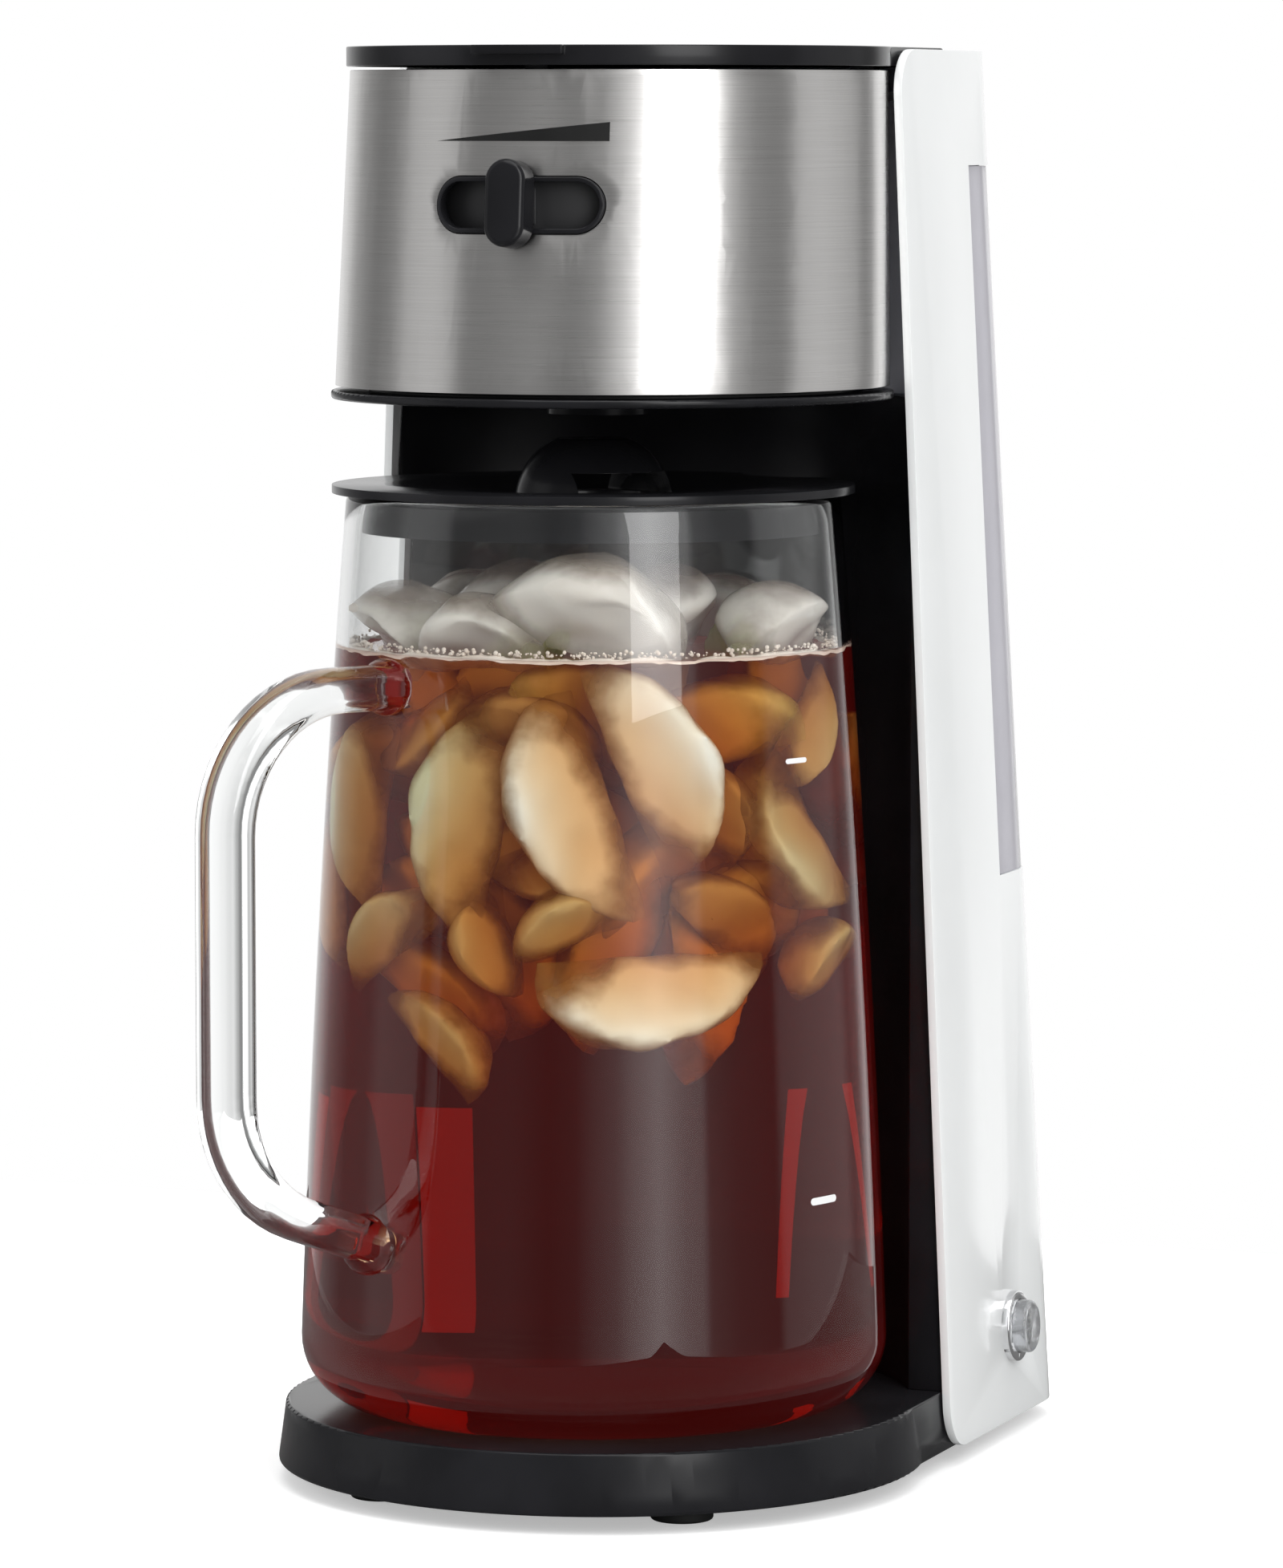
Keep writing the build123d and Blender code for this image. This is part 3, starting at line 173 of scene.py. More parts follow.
def around(azimuth, reach, height, centre=None):
    """A point round an axis: azimuth is in degrees from straight forward, towards the machine's right."""
    angle = math.radians(azimuth)
    start = JUG_AXIS if centre is None else centre
    return start + Vector((reach * MM * math.sin(angle), -reach * MM * math.cos(angle), height * MM))


# ------------------------------------------------------------------ finishes
def new_material(name):
    material = bpy.data.materials.new(name)
    material.use_nodes = True
    nodes = material.node_tree.nodes
    return material, nodes, material.node_tree.links, nodes["Principled BSDF"]


def object_noise(nodes, links, scale, detail, stretch=(1, 1, 1)):
    place = nodes.new("ShaderNodeTexCoord")
    mapping = nodes.new("ShaderNodeMapping")
    mapping.inputs["Scale"].default_value = stretch
    noise = nodes.new("ShaderNodeTexNoise")
    noise.inputs["Scale"].default_value = scale
    noise.inputs["Detail"].default_value = detail
    links.new(place.outputs["Object"], mapping.inputs["Vector"])
    links.new(mapping.outputs["Vector"], noise.inputs["Vector"])
    return noise


def ramp(nodes, links, source, low, high, start=0.3, end=0.7):
    colours = nodes.new("ShaderNodeValToRGB")
    colours.color_ramp.elements[0].position = start
    colours.color_ramp.elements[1].position = end
    colours.color_ramp.elements[0].color = (*low, 1)
    colours.color_ramp.elements[1].color = (*high, 1)
    links.new(source, colours.inputs["Fac"])
    return colours.outputs["Color"]


def grain(nodes, links, shader, noise, strength, distance):
    bump = nodes.new("ShaderNodeBump")
    bump.inputs["Strength"].default_value = strength
    bump.inputs["Distance"].default_value = distance * MM
    links.new(noise.outputs["Fac"], bump.inputs["Height"])
    links.new(bump.outputs["Normal"], shader.inputs["Normal"])


def plastic(name, low, high, rough_low, rough_high, scale=900, bump=0.02, coat=0.0):
    """Moulded plastic: a slight unevenness in colour and gloss, and a fine skin."""
    material, nodes, links, shader = new_material(name)
    clouds = object_noise(nodes, links, 40, 3)
    links.new(ramp(nodes, links, clouds.outputs["Fac"], low, high), shader.inputs["Base Color"])
    spread = nodes.new("ShaderNodeMapRange")
    spread.inputs["To Min"].default_value = rough_low
    spread.inputs["To Max"].default_value = rough_high
    links.new(clouds.outputs["Fac"], spread.inputs["Value"])
    links.new(spread.outputs["Result"], shader.inputs["Roughness"])
    shader.inputs["Coat Weight"].default_value = coat
    shader.inputs["Coat Roughness"].default_value = 0.05
    grain(nodes, links, shader, object_noise(nodes, links, scale, 2), bump, 0.05)
    return material


def dull(material, gloss):
    """Weakens a material's mirror gloss."""
    material.node_tree.nodes["Principled BSDF"].inputs["Specular IOR Level"].default_value = gloss


def brushed_band():
    """Steel sheet brushed along its length."""
    material, nodes, links, shader = new_material("brushed_band_steel")
    lines = object_noise(nodes, links, 8, 5, (5, 5, 900))
    steel = ramp(nodes, links, lines.outputs["Fac"], (0.56, 0.55, 0.54), (0.65, 0.64, 0.63))
    links.new(steel, shader.inputs["Base Color"])
    spread = nodes.new("ShaderNodeMapRange")
    spread.inputs["To Min"].default_value = 0.24
    spread.inputs["To Max"].default_value = 0.34
    links.new(lines.outputs["Fac"], spread.inputs["Value"])
    links.new(spread.outputs["Result"], shader.inputs["Roughness"])
    shader.inputs["Metallic"].default_value = 1.0
    shader.inputs["Anisotropic"].default_value = 0.85
    shader.inputs["Anisotropic Rotation"].default_value = 0.25
    tangent = nodes.new("ShaderNodeTangent")
    tangent.direction_type = "RADIAL"
    tangent.axis = "Z"
    links.new(tangent.outputs["Tangent"], shader.inputs["Tangent"])
    grain(nodes, links, shader, lines, 0.05, 0.02)
    return material


def metal(name, colour, rough, scale=300):
    material, nodes, links, shader = new_material(name)
    marks = object_noise(nodes, links, scale, 3)
    darker = tuple(0.85 * c for c in colour)
    links.new(ramp(nodes, links, marks.outputs["Fac"], darker, colour), shader.inputs["Base Color"])
    shader.inputs["Metallic"].default_value = 1.0
    shader.inputs["Roughness"].default_value = rough
    grain(nodes, links, shader, marks, 0.03, 0.02)
    return material


def light_passes(nodes, links, shader, tint=(1, 1, 1)):
    """Lets lamplight through a clear piece instead of casting its full shadow."""
    path = nodes.new("ShaderNodeLightPath")
    clear = nodes.new("ShaderNodeBsdfTransparent")
    clear.inputs["Color"].default_value = (*tint, 1)
    mix = nodes.new("ShaderNodeMixShader")
    links.new(path.outputs["Is Shadow Ray"], mix.inputs["Fac"])
    links.new(shader.outputs["BSDF"], mix.inputs[1])
    links.new(clear.outputs["BSDF"], mix.inputs[2])
    links.new(mix.outputs["Shader"], nodes["Material Output"].inputs["Surface"])


def clear_glass(name, wet=False):
    """Jug glass. Where tea wets the wall, the glass keeps its bending of light but loses its mirror gloss."""
    material, nodes, links, shader = new_material(name)
    ripple = object_noise(nodes, links, 14, 2)
    tint = ramp(nodes, links, ripple.outputs["Fac"], (0.96, 0.975, 0.97), (0.99, 0.995, 0.995))
    links.new(tint, shader.inputs["Base Color"])
    shader.inputs["Transmission Weight"].default_value = 1.0
    shader.inputs["Roughness"].default_value = 0.0
    shader.inputs["IOR"].default_value = 1.47
    if wet:
        shader.inputs["Specular Tint"].default_value = (0, 0, 0, 1)
    grain(nodes, links, shader, ripple, 0.04, 0.2)
    light_passes(nodes, links, shader, (0.94, 0.95, 0.95))
    return material


def clear_plastic(name, colour, rough, transmission=0.9):
    """Clear moulding: the less light it transmits, the milkier it looks."""
    material, nodes, links, shader = new_material(name)
    haze = object_noise(nodes, links, 60, 3)
    brighter = tuple(min(1.0, 1.06 * c) for c in colour)
    links.new(ramp(nodes, links, haze.outputs["Fac"], colour, brighter), shader.inputs["Base Color"])
    shader.inputs["Transmission Weight"].default_value = transmission
    shader.inputs["Roughness"].default_value = rough
    shader.inputs["IOR"].default_value = 1.49
    light_passes(nodes, links, shader, (0.8, 0.82, 0.84))
    return material


def tea_liquid(name, mirror):
    """Brewed tea: clear, redder and darker the further light goes through it, with a faint painted red glow
    in place of the light it scatters.
    """
    material, nodes, links, shader = new_material(name)
    shader.inputs["Base Color"].default_value = (1, 1, 1, 1)
    shader.inputs["Transmission Weight"].default_value = 1.0
    shader.inputs["Roughness"].default_value = 0.0
    shader.inputs["IOR"].default_value = 1.33
    shader.inputs["Specular Tint"].default_value = (mirror, mirror, mirror, 1)
    # Painted glow: a faint red emission stands in for the light that the tea scatters inside it.
    shader.inputs["Emission Color"].default_value = (1.0, 0.05, 0.04, 1)
    shader.inputs["Emission Strength"].default_value = 0.03
    light_passes(nodes, links, shader)
    dye = nodes.new("ShaderNodeVolumeAbsorption")
    dye.inputs["Color"].default_value = (0.88, 0.56, 0.12, 1)
    dye.inputs["Density"].default_value = 95
    links.new(dye.outputs["Volume"], nodes["Material Output"].inputs["Volume"])
    return material


def ice(name, clearness, edge_clear, rim, middle):
    """Ice with a cloudy heart that turns clear towards its melting rim, its colour darkening to amber there
    as painted shade.
    """
    material, nodes, links, shader = new_material(name)
    cloud = object_noise(nodes, links, 70, 6)
    shader.inputs["Roughness"].default_value = 0.12
    shader.inputs["Transmission Weight"].default_value = clearness
    shader.inputs["IOR"].default_value = 1.31
    shader.inputs["Subsurface Weight"].default_value = 0.5
    shader.inputs["Subsurface Radius"].default_value = (1.0, 1.0, 1.0)
    shader.inputs["Subsurface Scale"].default_value = 1.6 * MM
    grain(nodes, links, shader, object_noise(nodes, links, 160, 3), 0.2, 0.5)
    heart = nodes.new("ShaderNodeAttribute")
    heart.attribute_name = "heart"
    ragged = nodes.new("ShaderNodeMath")
    ragged.operation = "MULTIPLY_ADD"
    ragged.inputs[1].default_value = 0.9
    links.new(cloud.outputs["Fac"], ragged.inputs[0])
    links.new(heart.outputs["Fac"], ragged.inputs[2])
    # The whiter middle is the ice's own cloudiness; the darker, more amber rim colour is painted shade of the
    # tea in front of its thin rounded edges.
    links.new(ramp(nodes, links, ragged.outputs[0], rim, middle, 0.60, 1.30), shader.inputs["Base Color"])
    fade = nodes.new("ShaderNodeMapRange")
    fade.interpolation_type = "SMOOTHSTEP"
    fade.inputs["From Min"].default_value = 0.32
    fade.inputs["From Max"].default_value = 1.10
    fade.inputs["To Min"].default_value = edge_clear
    fade.inputs["To Max"].default_value = 0.0
    links.new(ragged.outputs[0], fade.inputs["Value"])
    clear = nodes.new("ShaderNodeBsdfTransparent")
    mix = nodes.new("ShaderNodeMixShader")
    links.new(fade.outputs["Result"], mix.inputs["Fac"])
    links.new(shader.outputs["BSDF"], mix.inputs[1])
    links.new(clear.outputs["BSDF"], mix.inputs[2])
    links.new(mix.outputs["Shader"], nodes["Material Output"].inputs["Surface"])
    return material


BLACK = plastic("satin_black_plastic", (0.008, 0.008, 0.009), (0.013, 0.013, 0.015), 0.16, 0.24)
dull(BLACK, 0.16)
MATT_BLACK = plastic("matt_black_plastic", (0.012, 0.012, 0.013), (0.022, 0.022, 0.024), 0.45, 0.6, 500, 0.05)
WHITE_LOW, WHITE_HIGH = (0.84, 0.855, 0.855), (0.86, 0.875, 0.875)
WHITE = plastic("glossy_white_plastic", WHITE_LOW, WHITE_HIGH, 0.16, 0.22, 700, 0.01, 0.25)
STEEL_BAND = brushed_band()
STEEL = metal("plain_steel", (0.66, 0.66, 0.66), 0.25)
BRIGHT = metal("polished_ring", (0.80, 0.80, 0.81), 0.12)
ALUMINIUM = metal("cast_aluminium", (0.62, 0.62, 0.63), 0.42, 120)
RUBBER = plastic("foot_rubber", (0.012, 0.012, 0.012), (0.020, 0.020, 0.020), 0.6, 0.75, 400, 0.1)
SILICONE = plastic("hose_silicone", (0.60, 0.60, 0.57), (0.68, 0.68, 0.65), 0.4, 0.5)
TUBE = plastic("tube_plastic", (0.70, 0.70, 0.67), (0.76, 0.76, 0.73), 0.35, 0.45)
MESH = plastic("filter_mesh", (0.35, 0.36, 0.36), (0.62, 0.63, 0.63), 0.5, 0.6, 2500, 0.6)
CERAMIC = plastic("fuse_ceramic", (0.66, 0.62, 0.54), (0.74, 0.70, 0.62), 0.3, 0.4)
CIRCUIT = plastic("circuit_board", (0.02, 0.12, 0.05), (0.03, 0.18, 0.08), 0.3, 0.45, 1500, 0.1)
PRINT = plastic("dark_print", (0.012, 0.012, 0.012), (0.018, 0.018, 0.018), 0.35, 0.45)
dull(PRINT, 0.10)
WHITE_PRINT = plastic("white_print", (0.84, 0.84, 0.84), (0.88, 0.88, 0.88), 0.3, 0.4)
GLASS = clear_glass("jug_clear_glass")
WET_GLASS = clear_glass("jug_wet_glass", wet=True)
WINDOW = clear_plastic("window_plastic", (0.60, 0.59, 0.63), 0.10, 0.35)
TANK = clear_plastic("tank_plastic", (0.74, 0.74, 0.80), 0.18, 0.30)
BUTTON = clear_plastic("button_plastic", (0.92, 0.93, 0.94), 0.04)
TEA = tea_liquid("brewed_tea", 0.0)
TEA_SURFACE = tea_liquid("brewed_tea_surface", 1.0)
ICE = ice("sunken_ice", 0.05, 0.90, (0.24, 0.17, 0.05), (0.64, 0.67, 0.61))
AMBER_ICE = ice("amber_ice", 0.05, 0.90, (0.18, 0.13, 0.035), (0.46, 0.44, 0.27))
DEEP_ICE = ice("deep_ice", 0.0, 0.9, (0.44, 0.46, 0.14), (0.66, 0.70, 0.40))
WET_ICE = ice("floating_ice", 0.35, 0.75, (0.42, 0.36, 0.30), (0.82, 0.78, 0.72))
FOAM = plastic("tea_foam", (0.52, 0.42, 0.34), (0.80, 0.73, 0.66), 0.15, 0.3, 700, 0.3)

# ------------------------------------------------------------------ machine
# node, piece, body, slot, material, rounding of the edges in millimetres and the steps of that rounding
PIECES = [
    ("base", "base_disc", "machine", "black_satin", BLACK, 0.35, 2),
    ("base_cover", "bottom_cover", "machine", "black_matte", MATT_BLACK, 0.2, 2),
    ("rubber_feet", "feet", "machine", "rubber", RUBBER, 0, 2),
    ("base_screws", "cover_screws", "machine", "bright_steel", STEEL, 0, 2),
    ("outer_shell", "column_shell", "machine", "white_gloss", WHITE, 0.5, 3),
    ("column_front", "jug_niche", "machine", "black_satin", BLACK, 0.3, 2),
    ("level_window", "tank_window", "machine", "clear_plastic", WINDOW, 0, 2),
    ("cord_gland", "lead_bush", "machine", "black_matte", MATT_BLACK, 0.3, 2),
    ("head_shelf", "drip_shelf", "machine", "black_satin", BLACK, 0, 2),
    ("steel_band", "head_band", "machine", "brushed_steel", STEEL_BAND, 0.15, 2),
    ("head_housing", "head_cup", "machine", "black_matte", MATT_BLACK, 0, 2),
    ("slot_bezel", "slot_frame", "machine", "black_satin", BLACK, 0.25, 2),
    ("strength_knob", "selector_knob", "selector", "black_satin", BLACK, 0, 2),
    ("strength_lever", "selector_shutter", "selector", "black_matte", MATT_BLACK, 0.2, 2),
    ("flow_disc", "selector_disc", "selector", "black_matte", MATT_BLACK, 0.2, 2),
    ("drain_spout", "drain_funnel", "machine", "black_matte", BLACK, 0.3, 2),
    ("brew_basket", "basket", "machine", "black_matte", MATT_BLACK, 0.3, 2),
    ("tea_filter", "filter_cup", "machine", "mesh", MESH, 0.2, 2),
    ("top_deck", "deck_plate", "machine", "black_matte", MATT_BLACK, 0.2, 2),
    ("lid_hinge_pin", "hinge_rod", "machine", "bright_steel", STEEL, 0.2, 2),
    ("top_lid", "hinged_lid", "lid", "black_satin", BLACK, 0.5, 3),
    ("water_tank", "tank", "machine", "clear_plastic", TANK, 0, 2),
    ("tank_outlet_valve", "tank_valve", "machine", "black_matte", MATT_BLACK, 0.3, 2),
    ("feed_hose", "cold_hose", "machine", "silicone", SILICONE, 0, 2),
    ("riser_hose", "hot_hose", "machine", "silicone", SILICONE, 0, 2),
    ("riser_tube", "hot_riser", "machine", "tube_plastic", TUBE, 0, 2),
    ("shower_arm", "spray_arm", "shower", "black_matte", MATT_BLACK, 0.3, 2),
    ("heater_body", "heater_block", "machine", "aluminium", ALUMINIUM, 0.3, 2),
    ("heater_water_pipe", "heater_pipe", "machine", "bright_steel", STEEL, 0, 2),
    ("heating_element", "element_rod", "machine", "bright_steel", STEEL, 0.2, 2),
    ("heater_brackets", "heater_stands", "machine", "bright_steel", STEEL, 0.2, 2),
    ("thermostat", "thermostat_can", "machine", "aluminium", ALUMINIUM, 0.3, 2),
    ("thermal_fuse", "fuse", "machine", "ceramic", CERAMIC, 0.2, 2),
    ("fuse_clip", "clip", "machine", "bright_steel", STEEL, 0.2, 2),
    ("control_board", "timer_board", "machine", "circuit_green", CIRCUIT, 0.2, 2),
    ("switch_body", "switch_box", "machine", "black_matte", MATT_BLACK, 0.4, 2),
    ("button_collar", "button_ring", "machine", "bright_steel", BRIGHT, 0, 2),
    ("power_button", "push_button", "button", "clear_plastic", BUTTON, 0, 2),
    ("jug_lid", "jug_cap", "jug_lid", "black_satin", BLACK, 0.35, 2),
]
for node, name, body, slot, material, edge, steps in PIECES:
    from_solid(node, name, body, material, edge, steps)


# ------------------------------------------------------------------ jug
# millimetres, from the jug's axis and from the worktop
JUG_WALL = 3.0
JUG_FLOOR = 4.0
JUG_BOTTOM = 18.8
JUG_RIM = 233.1
JUG_CORNER = 16.0
TEA_LEVEL = 198.0
RIM_ROUND = 1.5
GRIP_REACH = 108.9          # the grip's middle line where it runs down
GRIP_TOP = 190.8
GRIP_BEND = 31.5
GRIP_START = 58.0           # inside the wall, so that the grip fuses with it
GRIP_LOW = 78.0             # where the run down and the run back would meet in a sharp corner
GRIP_FOOT = (61.0, 60.4)    # end of the run back, 4 mm past the wall's inner face
GRIP_HALF_WIDTH = 7.2
GRIP_HALF_THICKNESS = 5.15
GRIP_ROUNDNESS = 0.62       # 1 makes the section an ellipse, 0 a rectangle
UPPER_ROOT = (62.5, GRIP_TOP)
LOWER_ROOT = (68.5, 62.6)
UPPER_ROOT_SIZE = (5.0, 7.6, 6.6)
LOWER_ROOT_SIZE = (5.4, 7.6, 7.2)


def side_radius(height):
    """The jug's outside radius at a height, from its slightly bowed side."""
    low, middle, high = (JUG_BOTTOM, 69.6), (122.5, 65.2), (JUG_RIM, 57.8)
    total = 0
    for a, b, c in ((low, middle, high), (middle, low, high), (high, low, middle)):
        total += a[1] * (height - b[0]) * (height - c[0]) / ((a[0] - b[0]) * (a[0] - c[0]))
    return total


def wall_points(inset, bottom, corner, top):
    """Half section of the jug's outside or inside, from the middle of its floor to its top."""
    count = 36
    corner_end = 1.0
    reach = side_radius(bottom + corner) - inset
    points = [(0, bottom)]
    start = (reach - corner, bottom + corner)
    points += arc(start, corner, -90, corner_end, 12)
    for i in range(1, count + 1):
        height = start[1] + (top - start[1]) * i / count
        points.append((side_radius(height) - inset, height))
    return points


def pull_lip(piece):
    """Draws the rim out into a pouring lip opposite the handle."""
    reach, low, spread = 7.5, 196.0, 17.0
    direction = math.radians(HANDLE_AZIMUTH + 180)
    ahead = Vector((math.sin(direction), -math.cos(direction), 0))
    for vertex in piece.data.vertices:
        from_axis = vertex.co - JUG_AXIS
        height = from_axis.z / MM
        flat = Vector((from_axis.x, from_axis.y, 0))
        if height < low or flat.length < 40 * MM:
            continue
        angle = math.degrees(flat.angle(ahead))
        share = (height - low) / (JUG_RIM - low)
        push = reach * MM * share ** 2 * math.exp(-((angle / spread) ** 2))
        vertex.co += ahead * push


def handle():
    """The grip: a round-cornered strap run out, bent, run down, bent and run back in."""
    deselect_all()
    bpy.ops.mesh.primitive_circle_add(vertices=32, radius=MM, fill_type="NGON", location=(0, 0, 0))
    piece = bpy.context.object
    for vertex in piece.data.vertices:
        angle = math.atan2(vertex.co.y, vertex.co.x)
        across, up = math.cos(angle), math.sin(angle)
        across = math.copysign(abs(across) ** GRIP_ROUNDNESS, across)
        up = math.copysign(abs(up) ** GRIP_ROUNDNESS, up)
        height = GRIP_TOP + up * GRIP_HALF_THICKNESS
        vertex.co = Vector((GRIP_START * MM, across * GRIP_HALF_WIDTH * MM, height * MM))
    edit(piece)
    run = GRIP_REACH - GRIP_BEND - GRIP_START
    bpy.ops.mesh.extrude_region_move(TRANSFORM_OT_translate={"value": (run * MM, 0, 0)})
    top_bend = ((GRIP_REACH - GRIP_BEND) * MM, 0, (GRIP_TOP - GRIP_BEND) * MM)
    bpy.ops.mesh.spin(steps=14, angle=math.pi / 2, center=top_bend, axis=(0, -1, 0))
    foot = Vector((GRIP_FOOT[0] - GRIP_REACH, 0, GRIP_FOOT[1] - GRIP_LOW))
    turn = math.pi / 2 - math.atan2(-foot.z, -foot.x)
    cut = GRIP_BEND * math.tan(turn / 2)
    drop = (GRIP_TOP - GRIP_BEND) - (GRIP_LOW + cut)
    bpy.ops.mesh.extrude_region_move(TRANSFORM_OT_translate={"value": (0, 0, -drop * MM)})
    low_bend = ((GRIP_REACH - GRIP_BEND) * MM, 0, (GRIP_LOW + cut) * MM)
    bpy.ops.mesh.spin(steps=11, angle=turn, center=low_bend, axis=(0, -1, 0))
    back = foot.normalized() * (foot.length - cut) * MM
    bpy.ops.mesh.extrude_region_move(TRANSFORM_OT_translate={"value": back})
    bpy.ops.mesh.select_all(action="SELECT")
    bpy.ops.mesh.remove_doubles(threshold=0.000002)
    bpy.ops.mesh.normals_make_consistent(inside=False)
    done()
    piece.location = JUG_AXIS
    piece.rotation_euler = (0, 0, math.radians(HANDLE_AZIMUTH - 90))
    settle(piece)
    return piece


def blob(azimuth, reach, height, size):
    """A drop of glass where the handle is fused to the wall."""
    deselect_all()
    place = around(azimuth, reach, height)
    bpy.ops.mesh.primitive_uv_sphere_add(segments=32, ring_count=16, radius=MM, location=place)
    piece = bpy.context.object
    piece.scale = size
    piece.rotation_euler = (0, 0, math.radians(azimuth - 90))
    settle(piece)
    return piece


def join_solid(piece, other):
    union = piece.modifiers.new("join", "BOOLEAN")
    union.operation = "UNION"
    union.solver = "EXACT"
    union.object = other
    apply_modifiers(piece)
    deselect_all()
    other.select_set(True)
    bpy.ops.object.delete()


outside = wall_points(0, JUG_BOTTOM, JUG_CORNER, JUG_RIM - RIM_ROUND)
rim = arc((side_radius(JUG_RIM) - RIM_ROUND, JUG_RIM - RIM_ROUND), RIM_ROUND, 0, 180, 8)
inside = wall_points(JUG_WALL, JUG_BOTTOM + JUG_FLOOR, JUG_CORNER - JUG_WALL, TEA_LEVEL)
dry_step = (JUG_RIM - RIM_ROUND - TEA_LEVEL) / 8
dry = [TEA_LEVEL + dry_step * (i + 1) for i in range(8)]
inside += [(side_radius(height) - JUG_WALL, height) for height in dry]
jug = turned(outside + rim[1:-1] + inside[::-1], JUG_AXIS, 160)
pull_lip(jug)
join_solid(jug, handle())
join_solid(jug, blob(HANDLE_AZIMUTH, *UPPER_ROOT, UPPER_ROOT_SIZE))
join_solid(jug, blob(HANDLE_AZIMUTH, *LOWER_ROOT, LOWER_ROOT_SIZE))
smooth(jug, 40)
finish_piece(jug, "jug_body", "jug", GLASS)
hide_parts("glass_jug")
jug.data.materials.append(WET_GLASS)     # for the faces that the tea wets
for face in jug.data.polygons:
    from_axis = face.center - JUG_AXIS
    height = from_axis.z / MM
    reach = math.hypot(from_axis.x, from_axis.y) / MM
    under = height < JUG_BOTTOM + JUG_FLOOR + JUG_CORNER and height > JUG_BOTTOM + JUG_FLOOR / 2
    inner = under or reach < side_radius(height) - JUG_WALL / 2
    faces_in = face.normal.dot(Vector((from_axis.x, from_axis.y, -from_axis.z))) < 0
    if inner and height < TEA_LEVEL and faces_in:
        face.material_index = 1

# ------------------------------------------------------------------ tea and ice
TEA_BITE = 0.1              # how far the tea reaches into the glass, so that no air shows between them
MENISCUS = (3.0, 0.5)       # width and height of the tea's climb where it meets the glass
surface = side_radius(TEA_LEVEL) - JUG_WALL + TEA_BITE
tea_bottom = JUG_BOTTOM + JUG_FLOOR - TEA_BITE
tea_side = wall_points(JUG_WALL - TEA_BITE, tea_bottom, JUG_CORNER - JUG_WALL, TEA_LEVEL)
tea_top = [(surface - MENISCUS[0], TEA_LEVEL - MENISCUS[1]), (0, TEA_LEVEL - MENISCUS[1])]
tea = turned(tea_side + tea_top, JUG_AXIS, 160)
smooth(tea, 50)
finish_piece(tea, "tea", "jug", TEA)
tea.data.materials.append(TEA_SURFACE)
for face in tea.data.polygons:
    if face.normal.z > 0.8:
        face.material_index = 1


def ice_wedge(length, depth, opening, lump, seed):
    """A moon-shaped piece of ice: a slice of a long ball, its edges melted round and its heart marked."""
    deselect_all()
    bpy.ops.mesh.primitive_uv_sphere_add(segments=32, ring_count=20, radius=MM, location=(0, 0, 0))
    piece = bpy.context.object
    piece.scale = (length / 2, depth, depth)
    settle(piece)
    edit(piece)
    for side in (1, -1):
        angle = math.radians(side * opening / 2)
        outward = (0, side * math.cos(angle), -side * math.sin(angle))
        bpy.ops.mesh.select_all(action="SELECT")
        bpy.ops.mesh.bisect(plane_co=(0, 0, 0), plane_no=outward, use_fill=True, clear_outer=True)
    bpy.ops.mesh.select_all(action="SELECT")
    bpy.ops.transform.translate(value=(0, 0, -depth * MM * 0.5))
    bpy.ops.mesh.normals_make_consistent(inside=False)
    done()
    remesh = piece.modifiers.new("even", "REMESH")
    remesh.mode = "VOXEL"
    remesh.voxel_size = 1.5 * MM
    melt = piece.modifiers.new("melt", "SMOOTH")
    melt.factor = 0.8
    melt.iterations = 12
    taper = piece.modifiers.new("taper", "SIMPLE_DEFORM")
    taper.deform_method = "TAPER"
    taper.deform_axis = "X"
    taper.factor = 0.5
    lumps = bpy.data.textures.new("lumps", "CLOUDS")
    lumps.noise_scale = 0.014 + 0.003 * seed
    lumps.noise_depth = 1
    push = piece.modifiers.new("lumps", "DISPLACE")
    push.texture = lumps
    push.strength = lump * MM
    push.mid_level = 0.5
    apply_modifiers(piece)
    bpy.data.textures.remove(lumps)
    smooth(piece, 80)
    heart = piece.data.attributes.new("heart", "FLOAT", "POINT")
    middle = sum((vertex.co for vertex in piece.data.vertices), Vector()) / len(piece.data.vertices)
    for vertex in piece.data.vertices:
        along = (vertex.co.x - middle.x) / (length / 2 * MM)
        up = (vertex.co.z - middle.z) / (depth / 2 * MM)
        heart.data[vertex.index].value = max(0.0, min(1.0, (1.12 - math.hypot(along, up)) / 0.95))
    return piece


def place_ice(model, name, azimuth, reach, height, roll, size, turn, material):
    """Copies a piece of ice: its flat side faces the wall, and its round back points along roll."""
    pick(model)
    bpy.ops.object.duplicate()
    piece = bpy.context.object
    to_place = Matrix.Translation(around(azimuth, reach, height))
    spin = Matrix.Rotation(math.radians(azimuth), 4, "Z")
    swing = Matrix.Rotation(math.radians(turn), 4, "Z")
    roll_in_wall = Matrix.Rotation(math.radians(90 - roll), 4, "Y")
    growth = Matrix.Diagonal((size, size, size, 1))
    piece.matrix_world = to_place @ spin @ swing @ roll_in_wall @ growth
    finish_piece(piece, name, "jug", material)


ice_models = [
    ice_wedge(47, 19.5, 56, 3.0, 0), ice_wedge(41, 18, 68, 4.5, 1),
    ice_wedge(32, 17, 84, 4.0, 2), ice_wedge(46, 21, 84, 9.0, 3),
]
CLOUDY_PIECES = (0, 1, 5)     # those of the sunken ones that are still white inside
